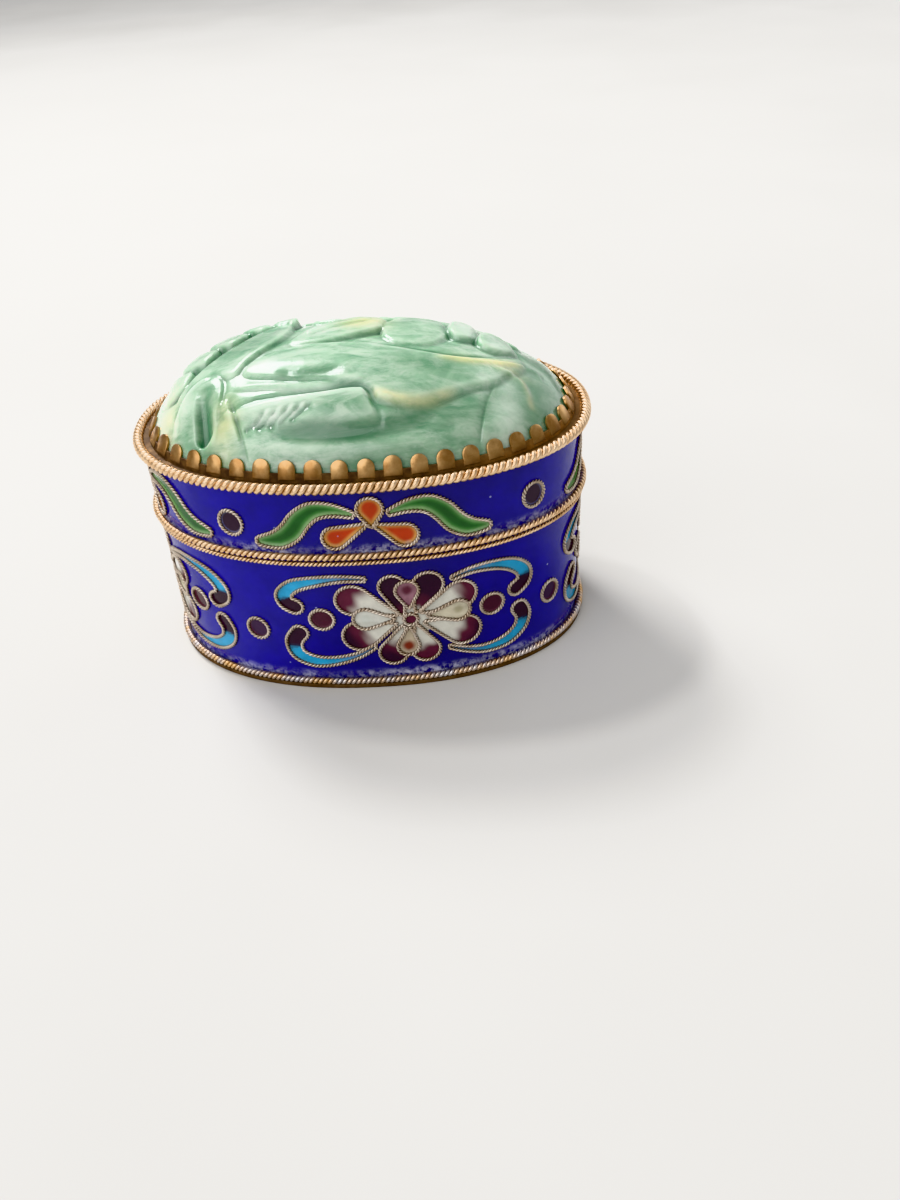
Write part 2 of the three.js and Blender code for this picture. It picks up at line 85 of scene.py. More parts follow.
def angle_along(along):
    """The outline's angle at a distance along the enamel's face from the middle of the front."""
    rounds = np.floor(np.asarray(along) / PERIMETER)
    return np.interp(along - rounds * PERIMETER, TABLE_LENGTHS, TABLE_ANGLES)


def outward_along(along):
    """Unit vectors that point straight away from the wall."""
    step = PERIMETER / TABLE_STEPS
    before, after = (oval(angle_along(np.asarray(along) + side * step)) for side in (-1, 1))
    run = after - before
    away = np.stack([run[..., 1], -run[..., 0]], -1)
    return away / np.linalg.norm(away, axis=-1, keepdims=True)


def on_wall(spots, out):
    """Places `out` off the enamel's face, for [along, height] spots."""
    spots = np.asarray(spots, float)
    flat = oval(angle_along(spots[:, 0])) + outward_along(spots[:, 0]) * np.reshape(out, (-1, 1))
    return np.column_stack([flat, spots[:, 1]])


# Meshes
def mesh_piece(name, points, faces, sharp=None):
    """A mesh object from arrays, smooth but for edges that turn by more than `sharp` degrees."""
    mesh = bpy.data.meshes.new(name)
    mesh.from_pydata(np.asarray(points).tolist(), [], [list(face) for face in faces])
    mesh.shade_smooth()
    if sharp is not None:
        mesh.set_sharp_from_angle(angle=math.radians(sharp))
    piece = bpy.data.objects.new(name, mesh)
    bpy.context.scene.collection.objects.link(piece)
    return piece


def grid_faces(rows, columns, rows_close=False, columns_close=True):
    """Four-cornered faces of a grid of rows x columns points, closed either way round."""
    r = np.arange(rows if rows_close else rows - 1)
    c = np.arange(columns if columns_close else columns - 1)
    r, c = (a.ravel() for a in np.meshgrid(r, c, indexing="ij"))
    this_row, next_row, next_c = r * columns, (r + 1) % rows * columns, (c + 1) % columns
    return np.column_stack([this_row + c, this_row + next_c, next_row + next_c, next_row + c])


def paint(piece, name, values):
    """Gives a piece's points one number or one colour each, for its material to read."""
    values = np.asarray(values, np.float32)
    if values.ndim == 1:
        layer = piece.data.attributes.new(name, "FLOAT", "POINT")
        layer.data.foreach_set("value", values)
    else:
        layer = piece.data.attributes.new(name, "FLOAT_COLOR", "POINT")
        solid = np.ones(len(values), np.float32)
        layer.data.foreach_set("color", np.column_stack([values, solid]).ravel())


def places(piece):
    """A mesh's points as an array."""
    flat = np.empty(len(piece.data.vertices) * 3, np.float32)
    piece.data.vertices.foreach_get("co", flat)
    return flat.reshape(-1, 3).astype(float)


def finish_piece(piece, material, slot, *nodes):
    """Gives a piece its material, sets it under the root and hides the solids that it stands for."""
    piece.data.materials.clear()
    piece.data.materials.append(material)
    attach(piece, "root")
    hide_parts(*nodes)
    return piece


def smooth_share(value, low, high):
    """0 below low, 1 above high, and smooth between."""
    t = np.clip((value - low) / (high - low), 0, 1)
    return t * t * (3 - 2 * t)


def mix(a, b, share):
    """Colours a turned towards colours b."""
    return np.asarray(a) + (np.asarray(b) - np.asarray(a)) * np.reshape(share, (-1, 1))


def linear(red, green, blue):
    """A colour as a renderer counts it, from the 0 to 255 values that an eye compares."""
    shares = np.array([red, green, blue]) / 255
    return np.where(shares <= 0.04045, shares / 12.92, ((shares + 0.055) / 1.055) ** 2.4)


# Trees of nodes
class Tree:
    """A tree of nodes being built."""

    def __init__(self, tree):
        self.tree = tree

    def add(self, kind, settings=None, **inputs):
        """Adds a node. Inputs go by their names or, as i0, i1 and so on, by their places."""
        node = self.tree.nodes.new(kind)
        for key, value in (settings or {}).items():
            setattr(node, key, value)
        for key, value in inputs.items():
            self.set(node, key.replace("_", " "), value)
        return node

    def get(self, output, kind, settings=None, **inputs):
        """Adds a node and returns one of its outputs."""
        return self.add(kind, settings, **inputs).outputs[output]

    def set(self, node, key, value):
        """Sets an input to a value, or links another node's output to it."""
        socket = node.inputs[int(key[1:])] if key[0] == "i" and key[1:].isdigit() else node.inputs[key]
        if isinstance(value, bpy.types.NodeSocket):
            self.tree.links.new(value, socket)
        elif hasattr(socket.default_value, "__len__") and len(value) == 3 and len(socket.default_value) == 4:
            socket.default_value = (*value, 1)
        else:
            socket.default_value = value

    def math(self, kind, first, second=0.5):
        """Works out one number from one or two others."""
        return self.get(0, "ShaderNodeMath", {"operation": kind}, i0=first, i1=second)


class Finish(Tree):
    """A material being built."""

    def __init__(self, name):
        self.material = bpy.data.materials.new(name)
        self.material.use_nodes = True
        super().__init__(self.material.node_tree)

    def shade(self, **values):
        """Sets or links the shader's own sockets."""
        for key, value in values.items():
            self.set(self.tree.nodes["Principled BSDF"], key.replace("_", " "), value)

    def object_place(self):
        return self.get("Object", "ShaderNodeTexCoord")

    def noise(self, scale, detail, roughness, place, distortion=0.0):
        """Noise with a scale in lumps for each metre."""
        return self.get("Fac", "ShaderNodeTexNoise", Vector=place, Scale=scale, Detail=detail,
                        Roughness=roughness, Distortion=distortion)

    def near_dot(self, scale, place):
        """The distance to the nearest of some scattered dots."""
        return self.get("Distance", "ShaderNodeTexVoronoi", Vector=place, Scale=scale)

    def ramp(self, value, *stops):
        """A colour ramp through (place, colour) stops."""
        node = self.add("ShaderNodeValToRGB", Fac=value)
        points = node.color_ramp.elements
        while len(points) < len(stops):
            points.new(0.5)
        for point, (place, colour) in zip(points, stops):
            point.position = place
            point.color = (*colour, 1) if hasattr(colour, "__len__") else (colour, colour, colour, 1)
        return node.outputs["Color"]

    def blend(self, share, first, second, kind="MIX"):
        """One colour turned towards a second by a share."""
        settings = {"data_type": "RGBA", "blend_type": kind}
        return self.get(2, "ShaderNodeMix", settings, i0=share, i6=first, i7=second)

    def attribute(self, name, output="Fac"):
        return self.get(output, "ShaderNodeAttribute", {"attribute_name": name})

    def bump(self, **inputs):
        return self.get("Normal", "ShaderNodeBump", **inputs)


def gilt(name, bright, worn, dark, roughness):
    """Gilded brass rubbed in patches, and darkened by grime and by painted shade where its points' hollow
    share says.
    """
    f = Finish(name)
    place = f.object_place()
    colour = f.blend(f.ramp(f.noise(420, 5, 0.6, place), (0.38, 0.0), (0.62, 1.0)), bright, worn)
    uneven = f.ramp(f.noise(900, 3, 0.5, place), (0.3, 0.75), (0.6, 1.0))
    # Grime and painted shade: the hollow share, made patchy by noise, turns the metal dark
    grime_and_shade = f.math("MULTIPLY", f.attribute("hollow"), uneven)
    f.shade(Base_Color=f.blend(grime_and_shade, colour, dark), Roughness=f.ramp(grime_and_shade, (0.0, roughness), (1.0, 0.75)),
            Metallic=f.ramp(grime_and_shade, (0.35, 1.0), (1.0, 0.35)),
            Normal=f.bump(Height=f.noise(5200, 3, 0.6, place), Strength=0.25, Distance=0.03 * MM))
    return f.material


def enamel_finish():
    """Glossy fired enamel, coloured point by point, with faint clouds, pits and a wavy surface."""
    f = Finish("cobalt_and_coloured_enamel")
    place = f.object_place()
    clouds = f.ramp(f.noise(330, 5, 0.6, place), (0.3, 0.78), (0.7, 1.12))
    tinted = f.blend(1.0, f.attribute("enamel_colour", "Color"), clouds, "MULTIPLY")
    grains = f.ramp(f.noise(1100, 6, 0.7, place), (0.4, 0.0), (0.6, 1.0))
    drifts = f.ramp(f.noise(130, 3, 0.6, place), (0.36, 0.3), (0.56, 1.0))
    haze = f.math("MULTIPLY", f.attribute("haze"), f.math("MULTIPLY", grains, drifts))
    hazed = f.blend(haze, tinted, linear(208, 208, 230))
    specks = f.ramp(f.near_dot(230.0, place), (0.02, 0.7), (0.045, 0.0))
    ripple = f.bump(Height=f.noise(620, 2, 0.5, place), Strength=0.35, Distance=0.08 * MM)
    pits = f.ramp(f.near_dot(1500.0, place), (0.0, 0.0), (0.1, 1.0))
    f.shade(Base_Color=f.blend(specks, hazed, linear(176, 178, 216)),
            Roughness=f.ramp(haze, (0.0, 0.11), (1.0, 0.5)),
            Normal=f.bump(Height=pits, Strength=0.25, Distance=0.02 * MM, Normal=ripple),
            Specular_IOR_Level=0.38, IOR=1.5)
    return f.material


def jade_finish():
    """Polished jade: milky green, whitish and creamy in clouds, with painted shade that turns the cuts a
    deeper green and a painted highlight that whitens the ridges.
    """
    f = Finish("polished_jade")
    place = f.object_place()
    wide = f.noise(70, 5, 0.6, place, 1.4)
    along = f.get(0, "ShaderNodeMapping", Vector=place, Scale=(0.4, 1.0, 1.0), Rotation=(0.0, 0.0, 0.22))
    streaks = f.noise(190, 6, 0.65, along, 2.2)
    body = ((0.32, linear(110, 152, 122)), (0.5, linear(139, 174, 144)), (0.66, linear(168, 193, 168)))
    colour = f.blend(f.ramp(streaks, (0.36, 0.7), (0.56, 0.0)), f.ramp(wide, *body), linear(84, 138, 102))
    milk = f.ramp(f.noise(120, 6, 0.72, along, 1.0), (0.52, 0.0), (0.72, 0.7))
    colour = f.blend(milk, colour, linear(198, 213, 194))
    mottles = f.ramp(f.noise(480, 5, 0.7, along, 0.6), (0.46, 0.0), (0.66, 0.55))
    colour = f.blend(mottles, colour, linear(194, 209, 190))
    # Painted highlight: the ridges are whitened
    colour = f.blend(f.math("MULTIPLY", f.attribute("ridge"), 0.55), colour, linear(214, 226, 206))
    # The pale tint is partly painted highlight and the green partly painted shade; the warm tint is the
    # stone's own
    for name, cloud, start, end, tint in (
        ("pale", streaks, (0.35, 0.55), (0.6, 0.95), linear(222, 232, 218)),
        ("warm", streaks, (0.35, 0.5), (0.6, 0.95), linear(232, 218, 160)),
        ("green", wide, (0.35, 0.9), (0.65, 0.55), linear(56, 110, 70)),
    ):
        colour = f.blend(f.math("MULTIPLY", f.attribute(name), f.ramp(cloud, start, end)), colour, tint)
    cut = f.attribute("cut")
    polish = f.ramp(f.noise(420, 4, 0.6, place), (0.3, 0.12), (0.7, 0.26))
    # Painted shade: the cuts are turned a dark green, and made rougher
    f.shade(Base_Color=f.blend(f.math("MULTIPLY", cut, 0.9), colour, linear(58, 116, 80)),
            Roughness=f.math("MAXIMUM", polish, f.math("MULTIPLY", cut, 0.5)),
            Normal=f.bump(Height=f.noise(380, 4, 0.55, place), Strength=0.4, Distance=0.22 * MM),
            Subsurface_Weight=0.75, Subsurface_Radius=(1.0, 1.6, 1.25), Subsurface_Scale=1.3 * MM,
            Coat_Weight=0.3, Coat_Roughness=0.05, IOR=1.6)
    return f.material


def floor_finish():
    """A pale matt floor with hardly any clouding."""
    f = Finish("pale_floor")
    clouds = f.noise(14, 3, 0.5, f.object_place())
    tints = (0.3, linear(198, 196, 192)), (0.7, linear(205, 203, 199))
    f.shade(Base_Color=f.ramp(clouds, *tints), Roughness=0.8)
    return f.material


# Each metal's last colour is the dark of its grime and painted shade
CUP_METAL = gilt("aged_gilt_sheet", linear(176, 140, 98), linear(140, 104, 66), linear(44, 28, 16), 0.34)
ROPE_METAL = gilt("gilt_rope", linear(244, 214, 178), linear(220, 182, 140), linear(52, 30, 18), 0.3)
TAB_METAL = gilt("gilt_tabs", linear(206, 168, 118), linear(160, 122, 80), linear(58, 38, 26), 0.3)
FOOT_METAL = gilt("worn_rope", linear(206, 200, 200), linear(214, 176, 128), linear(46, 32, 30), 0.34)
WIRE_METAL = gilt("silvery_wire", linear(214, 202, 188), linear(186, 168, 148), linear(84, 66, 58), 0.36)
ENAMEL_GLAZE = enamel_finish()
JADE = jade_finish()


# Pieces swept round the oval
ROUND_STEPS = 420
SHARP_ANGLE = 35
EDGE_SOFTNESS = 0.12 * MM
SHORT_SIDE_SHARE = 0.45  # of a short side, that a rounded corner may take


def swept_solid(name, section):
    """A body swept round the oval whose section of [out, z] pairs starts and ends on the axis."""
    steps = ROUND_STEPS
    angles = np.arange(steps) / steps * TURN - TURN / 4
    rings = [np.column_stack([oval(angles, out), np.full(steps, z)]) for out, z in section]
    points = np.concatenate([*rings, [[0, 0, section[0][1]], [0, 0, section[-1][1]]]])
    faces = grid_faces(len(section), steps).tolist()
    first, last = len(points) - 2, len(points) - 1
    top = (len(section) - 1) * steps
    for i in range(steps):
        j = (i + 1) % steps
        faces.extend(([first, j, i], [last, top + i, top + j]))
    return mesh_piece(name, points, faces, SHARP_ANGLE)


def softened_run(corners):
    """An open run of [out, z] corners with its inner corners rounded off."""
    corners = np.asarray(corners, float)
    run = [corners[0]]
    for before, corner, after in zip(corners, corners[1:], corners[2:]):
        to_last, to_next = before - corner, after - corner
        far_last, far_next = np.linalg.norm(to_last), np.linalg.norm(to_next)
        reach = min(EDGE_SOFTNESS, far_last * SHORT_SIDE_SHARE, far_next * SHORT_SIDE_SHARE)
        start, end = corner + to_last / far_last * reach, corner + to_next / far_next * reach
        for t in (0, 0.33, 0.67, 1):
            run.append((1 - t) ** 2 * start + 2 * t * (1 - t) * corner + t ** 2 * end)
    run.append(corners[-1])
    return run


METAL_OUT = -ENAMEL_THICKNESS - SOLDER_GAP
METAL_IN = METAL_OUT - METAL_THICKNESS
NEAR_AXIS = -HALF_WIDTH * 0.98
COLLAR_CLEARANCE = 0.2 * MM
COLLAR_THICKNESS = 0.6 * MM
COLLAR_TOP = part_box("base_cup")[1].z
COLLAR_DEPTH = 6 * MM  # below the rim
PLATE_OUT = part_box("base_cup")[1].x - HALF_LENGTH
LIP_THICKNESS = 0.08 * MM  # of the lid plate's edge, which covers the enamel's upper edge
LIP_OUT = 0.3 * MM  # into the rope

# How dark the bare metal is made, as a share: all over by grime, and on the foot, up to a height, by painted
# shadow under the foot rope
PLAIN_GRIME, FOOT_SHADOW, FOOT_SHADOW_TOP = 0.35, 0.75, 1.2 * MM
# How far down the lid plate's painted shade reaches
PLATE_SHADE_DEPTH = 0.3 * MM


def shade_by_length(spots, most, fall):
    """Painted shade round the stone, which lightens towards the right end."""
    return most - fall * smooth_share(spots[:, 0], 0.2 * HALF_LENGTH, 0.8 * HALF_LENGTH)


def cup():
    """The cup: bottom plate, wall, rim and the collar that the lid slips over."""
    collar_out = METAL_IN - COLLAR_CLEARANCE
    collar_in = collar_out - COLLAR_THICKNESS
    collar_foot = RIM - COLLAR_DEPTH
    floor = PLATE_TOP + METAL_THICKNESS
    piece = swept_solid("cup", softened_run([
        [NEAR_AXIS, 0], [PLATE_OUT, 0], [PLATE_OUT, PLATE_TOP], [METAL_OUT, PLATE_TOP], [METAL_OUT, RIM],
        [collar_out, RIM], [collar_out, COLLAR_TOP], [collar_in, COLLAR_TOP], [collar_in, collar_foot],
        [METAL_IN, collar_foot], [METAL_IN, floor], [NEAR_AXIS, floor],
    ]))
    # Painted shadow on the foot below the foot rope; elsewhere plain grime
    paint(piece, "hollow", np.where(places(piece)[:, 2] < FOOT_SHADOW_TOP, FOOT_SHADOW, PLAIN_GRIME))
    return finish_piece(piece, CUP_METAL, "cup_metal", "base_cup")


def lid_metal():
    """The lid's shell, open below, with the plate that the stone lies on."""
    ceiling = LID_TOP - METAL_THICKNESS
    lip_foot = LID_TOP - LIP_THICKNESS
    piece = swept_solid("lid_metal", softened_run([
        [NEAR_AXIS, ceiling], [METAL_IN, ceiling], [METAL_IN, LID_FOOT], [METAL_OUT, LID_FOOT],
        [METAL_OUT, lip_foot], [LIP_OUT, lip_foot], [LIP_OUT, LID_TOP], [NEAR_AXIS, LID_TOP],
    ]))
    spots = places(piece)
    # Painted shade on the plate's edge, in the recess under the rope and the stone
    on_plate = spots[:, 2] > LID_TOP - PLATE_SHADE_DEPTH
    paint(piece, "hollow", np.where(on_plate, shade_by_length(spots, 0.85, 0.35), PLAIN_GRIME))
    return finish_piece(piece, CUP_METAL, "cup_metal", "lid_shell")


# Geometry Nodes for what repeats or follows a line
def geometry_tree(name, start, result, **inputs):
    """An empty tree from one mesh to another, whose named inputs are (kind, value) pairs."""
    tree = bpy.data.node_groups.new(name, "GeometryNodeTree")
    for key, (kind, value) in {start: ("Geometry", None), **inputs}.items():
        socket_type = "NodeSocket" + kind
        socket = tree.interface.new_socket(key.replace("_", " "), in_out="INPUT", socket_type=socket_type)
        if value is not None:
            socket.default_value = value
    tree.interface.new_socket(result, in_out="OUTPUT", socket_type="NodeSocketGeometry")
    return Tree(tree)


def twisting_tree():
    """Turns each line of a mesh into strands twisted round it, a whole number of turns on a loop."""
    t = geometry_tree("twisted_strands", "Lines", "Wire", Strands=("Int", 2),
                      Strand_Radius=("Float", 0.1 * MM), Lay=("Float", 0.8 * MM), Step=("Float", 0.1 * MM),
                      Sides=("Int", 5), Twist=("Float", -1.0), Metal=("Material", None))

    def vector(kind, first, **second):
        return t.get("Vector", "ShaderNodeVectorMath", {"operation": kind}, i0=first, **second)

    given = t.add("NodeGroupInput").outputs
    curve = t.get("Curve", "GeometryNodeMeshToCurve", Mesh=given["Lines"])
    spaced = t.get("Curve", "GeometryNodeResampleCurve", {"mode": "LENGTH"}, Curve=curve,
                   Length=given["Step"])
    copies = t.add("GeometryNodeDuplicateElements", {"domain": "SPLINE"}, Geometry=spaced,
                   Amount=given["Strands"]).outputs
    turns = t.math("ROUND", t.math("DIVIDE", t.get("Length", "GeometryNodeSplineLength"), given["Lay"]))
    so_far = t.math("MULTIPLY", turns, t.get("Factor", "GeometryNodeSplineParameter"))
    start = t.math("DIVIDE", copies["Duplicate Index"], given["Strands"])
    angle = t.math("MULTIPLY", t.math("ADD", t.math("MULTIPLY", so_far, given["Twist"]), start), TURN)
    normal = t.get("Normal", "GeometryNodeInputNormal")
    across = vector("CROSS_PRODUCT", t.get("Tangent", "GeometryNodeInputTangent"), i1=normal)
    one = vector("SCALE", normal, Scale=t.math("COSINE", angle))
    two = vector("SCALE", across, Scale=t.math("SINE", angle))
    # Strands that touch each other lie this far from the rope's own line
    opening = t.math("SINE", t.math("DIVIDE", math.pi, given["Strands"]))
    apart = t.math("DIVIDE", given["Strand Radius"], opening)
    shift = vector("SCALE", vector("ADD", one, i1=two), Scale=apart)
    moved = t.get("Geometry", "GeometryNodeSetPosition", Geometry=copies["Geometry"], Offset=shift)
    circle = t.get("Curve", "GeometryNodeCurvePrimitiveCircle", Resolution=given["Sides"],
                   Radius=given["Strand Radius"])
    solid = t.get("Mesh", "GeometryNodeCurveToMesh", Curve=moved, Profile_Curve=circle, Fill_Caps=True)
    real = t.get("Geometry", "GeometryNodeRealizeInstances", Geometry=solid)
    smooth = t.get("Geometry", "GeometryNodeSetShadeSmooth", Geometry=real)
    t.add("NodeGroupOutput", Wire=t.get("Geometry", "GeometryNodeSetMaterial", Geometry=smooth,
                                        Material=given["Metal"]))
    return t.tree


def grown(name, points, edges, tree, inputs, layers=None):
    """The plain mesh that a tree makes from some points and edges, with these named inputs and layers."""
    mesh = bpy.data.meshes.new(name + "_lines")
    mesh.from_pydata(np.asarray(points).tolist(), edges, [])
    source = bpy.data.objects.new(name + "_lines", mesh)
    bpy.context.scene.collection.objects.link(source)
    for layer, values in (layers or {}).items():
        data = mesh.attributes.new(layer, "FLOAT_VECTOR", "POINT").data
        data.foreach_set("vector", np.asarray(values, np.float32).ravel())
    modifier = source.modifiers.new(tree.name, "NODES")
    modifier.node_group = tree
    identifiers = {s.name: s.identifier for s in tree.interface.items_tree if s.in_out == "INPUT"}
    for key, value in inputs.items():
        modifier[identifiers[key]] = value
    bpy.context.view_layer.update()
    made = bpy.data.meshes.new_from_object(source.evaluated_get(bpy.context.evaluated_depsgraph_get()))
    source.modifiers.remove(modifier)
    bpy.data.objects.remove(source)
    made.name = name
    piece = bpy.data.objects.new(name, made)
    bpy.context.scene.collection.objects.link(piece)
    return piece


def loops_and_runs(lines):
    """Points and edges of several lines, each given as (points, whether it closes)."""
    points, edges = [], []
    for line, is_closed in lines:
        first = len(points)
        points.extend(line)
        edges.extend((first + i, first + i + 1) for i in range(len(line) - 1))
        if is_closed:
            edges.append((len(points) - 1, first))
    return points, edges


TWISTING = twisting_tree()
FACET_SHARE = math.cos(TURN / 20)  # a five-sided solid's height as a share of its round rope's
ROPE_STEPS = 360
STEPS_A_LAY = 12
ROPE_HOLLOW, ROPE_PROUD = 0.45, 0.95  # shares of the rope's radius between which its grime fades


def rope(name, node, lay, sides, metal=ROPE_METAL):
    """A rope of two strands laid round the oval where its solid ring lies."""
    low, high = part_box(node)
    radius = (high.z - low.z) / FACET_SHARE / 2
    level = (high.z + low.z) / 2
    out = SOLDER_GAP + radius
    along = np.arange(ROPE_STEPS) / ROPE_STEPS * PERIMETER
    line = on_wall(np.column_stack([along, np.full(ROPE_STEPS, level)]), out)
    points, edges = loops_and_runs([(line.tolist(), True)])
    piece = grown(name, points, edges, TWISTING, {
        "Strands": 2, "Strand Radius": radius / 2, "Lay": lay, "Step": lay / STEPS_A_LAY, "Sides": sides,
        "Metal": metal,
    })
    spots = places(piece)
    centre = on_wall(np.column_stack([nearest_along(spots), np.full(len(spots), level)]), out)
    from_line = np.linalg.norm(spots - centre, axis=1) / radius
    paint(piece, "hollow", 1 - smooth_share(from_line, ROPE_HOLLOW, ROPE_PROUD))
    return finish_piece(piece, metal, "rope_metal", node)


def nearest_along(spots):
    """How far along the wall each place lies."""
    angle = np.arctan2(
        np.sign(spots[:, 1]) * np.abs(spots[:, 1] / HALF_WIDTH) ** (OVAL_POWER / 2),
        np.sign(spots[:, 0]) * np.abs(spots[:, 0] / HALF_LENGTH) ** (OVAL_POWER / 2),
    )
    angle = np.where(angle < -TURN / 4, angle + TURN, angle)
    return np.interp(angle, TABLE_ANGLES, TABLE_LENGTHS)


# Motifs on the wall. A unit across is a share of the way from one motif to the next and a unit up a
# share of the wall's height, both close to a millimetre, and places are from the motif's middle.
MOTIF_SIDES = ("front", "right", "back", "left")
UNITS_ACROSS, BASE_UNITS, LID_UNITS = 37.7, 19.95, 10.35
ACROSS = PERIMETER / len(MOTIF_SIDES) / UNITS_ACROSS
BASE_UP = BASE_WALL / BASE_UNITS
LID_UP = LID_WALL / LID_UNITS
# Where the flowers and the sprays stand, as shares of the way round from the middle of the front
FLOWERS_AT = (0.033, 0.299, 0.533, 0.764)
SPRAYS_AT = (0.01, 0.285, 0.523, 0.775)
BASE_MIDDLE = PLATE_TOP + 10.1 * BASE_UP
LID_MIDDLE = LID_FOOT + 5.2 * LID_UP
SPACER_DROP, LID_DOT_DROP = 1.8, 0.6


def curve_through(points, steps, is_closed):
    """A smooth line through some points."""
    points = np.asarray(points, float)
    count = len(points)
    runs = count if is_closed else count - 1
    line = []
    for i in range(runs):
        if is_closed:
            a, b, c, d = (points[(i + k) % count] for k in (-1, 0, 1, 2))
        else:
            a, b, c, d = (points[min(max(i + k, 0), count - 1)] for k in (-1, 0, 1, 2))
        for t in np.arange(steps) / steps:
            line.append(0.5 * (2 * b + (c - a) * t + (2 * a - 5 * b + 4 * c - d) * t ** 2
                               + (3 * b - a - 3 * c + d) * t ** 3))
    if not is_closed:
        line.append(points[-1])
    return np.array(line)


def blade(spine, halves, steps=5):
    """The outline of a blade with a round far end, from its spine and its half widths along it."""
    line = curve_through(spine, steps, False)
    half = np.interp(np.linspace(0, 1, len(line)), np.linspace(0, 1, len(halves)), halves)
    run = np.gradient(line, axis=0)
    run /= np.linalg.norm(run, axis=1, keepdims=True)
    across = np.column_stack([-run[:, 1], run[:, 0]])
    angles = np.linspace(TURN / 4, -TURN / 4, 9)[1:-1]
    end = [line[-1] + half[-1] * (np.sin(a) * across[-1] + np.cos(a) * run[-1]) for a in angles]
    return np.concatenate([line + across * half[:, None], end, (line - across * half[:, None])[::-1]])


def petal(root, middle, radius, steps=16):
    """A petal's outline: straight sides from a rounded root, and a wide round end."""
    root, middle = np.asarray(root, float), np.asarray(middle, float)
    run = middle - root
    far = np.linalg.norm(run)
    heading = math.atan2(run[1], run[0])
    open_half = TURN / 4 + math.asin(min((radius - ROOT_RADIUS) / far, 0.98))
    arc = np.linspace(-open_half, open_half, steps)
    end = middle + radius * np.column_stack([np.cos(heading + arc), np.sin(heading + arc)])
    small = np.linspace(open_half, TURN - open_half, 4)
    start = root + ROOT_RADIUS * np.column_stack([np.cos(heading + small), np.sin(heading + small)])
    thirds = np.array([[0.33], [0.67]])
    left, right = end[-1] + (start[0] - end[-1]) * thirds, start[-1] + (end[0] - start[-1]) * thirds
    return np.concatenate([end, left, start, right])


def round_dot(middle, half_wide, half_high, steps=18):
    """A round or oval dot's outline."""
    turn = np.arange(steps) / steps * TURN
    return np.column_stack([middle[0] + half_wide * np.cos(turn), middle[1] + half_high * np.sin(turn)])


# The base's flower, going round from the right: each petal's root, the middle of its round end, its radius
ROOT_RADIUS = 0.25
OUTER_PETALS = (((1.7, 1.0), (6.7, 2.8), 2.1), ((1.0, 1.2), (2.6, 5.0), 2.0), ((-0.9, 0.8), (-1.9, 5.3), 1.7),
                ((-1.7, 1.0), (-7.0, 3.5), 2.25), ((-2.0, -0.7), (-6.6, -2.3), 2.3),
                ((-1.0, -1.2), (-2.5, -5.3), 1.9), ((0.8, -1.3), (1.8, -5.3), 1.85),
                ((2.0, -0.9), (6.9, -3.0), 2.3))
INNER_PETALS = (((2.5, 0.2), (6.3, 0.3), 1.6), ((0.0, 2.0), (-0.1, 4.5), 1.5),
                ((-2.2, 0.2), (-5.7, 0.4), 1.6), ((-0.2, -1.6), (-0.5, -4.5), 1.45))
PETAL_REACH = 1.4  # a petal's length, against the distance from its root to the middle of its round end
HEART_RADIUS = 3.3  # of the enamel that runs between the petals' roots
EYE_RADIUS = 0.9
SCROLLS = (
    ((5.6, 5.5), (8.4, 6.2), (11.4, 6.1), (13.9, 5.3), (15.5, 3.8), (15.6, 2.3), (14.4, 1.4)),
    ((-5.1, 6.7), (-8.0, 6.9), (-11.0, 6.6), (-14.2, 5.8), (-15.8, 4.3), (-15.6, 3.1), (-14.6, 2.5)),
    ((-4.8, -4.1), (-7.1, -5.5), (-10.1, -6.4), (-13.0, -6.5), (-15.1, -5.4), (-15.5, -3.4), (-14.5, -1.8)),
    ((4.8, -5.4), (7.2, -6.4), (9.9, -7.0), (12.9, -6.6), (14.9, -5.2), (15.4, -3.4), (14.8, -2.0)),
)
SCROLL_HALVES = (0.28, 0.42, 0.62, 0.88, 1.0, 1.08, 1.12)
SIDE_DOTS = ((10.9, 0.1), (-11.3, 0.5))
SIDE_DOT_RADIUS = 1.6
SPACER_HALVES = (1.5, 1.65)

# The lid's spray, from the middle where its petals meet
SPRAY_PETALS = (((-0.1, -0.5), (-0.1, 1.8), 1.6), ((-0.9, -0.4), (-4.7, -2.1), 1.55),
                ((0.5, -0.6), (3.9, -2.2), 1.6))
SPRAY_LEAF = ((2.0, 1.1), (4.6, 1.9), (6.9, 1.8), (8.6, 0.6), (10.1, -1.3), (11.8, -2.4), (13.9, -2.75))
LEAF_HALVES = (0.35, 0.85, 1.2, 1.35, 1.4, 1.25, 0.7)
LID_DOT_HALVES = (1.6, 1.75)

# Colours of the enamels
COBALT = linear(22, 12, 150)
DEEP_COBALT = linear(16, 8, 112)
CYAN = linear(52, 158, 205)
PALE_CYAN = linear(128, 190, 205)
WINE = linear(92, 40, 58)
DARK_PURPLE = linear(46, 20, 40)
CREAM = linear(213, 211, 199)
PINK = linear(150, 110, 122)
BROWN_RED = linear(120, 52, 40)
GREEN = linear(60, 118, 56)
PALE_GREEN = linear(150, 186, 130)
ORANGE = linear(176, 54, 14)
YELLOW = linear(208, 160, 92)

# What the petals hold: an outer one's dark end and its start, an inner one's enamel, spot and spot's reach
OUTER_TINTS = ((WINE, 0.72), (DARK_PURPLE, 0.12), (DARK_PURPLE, 0.0), (WINE, 0.66),
               (DARK_PURPLE, 0.62), (DARK_PURPLE, 0.5), (WINE, 0.66), (DARK_PURPLE, 0.68))
INNER_TINTS = ((linear(204, 196, 172), linear(176, 168, 140), 0.9), (PINK, linear(92, 50, 62), 1.1),
               (linear(208, 208, 198), linear(196, 200, 190), 1.0), (linear(190, 176, 152), BROWN_RED, 1.2))


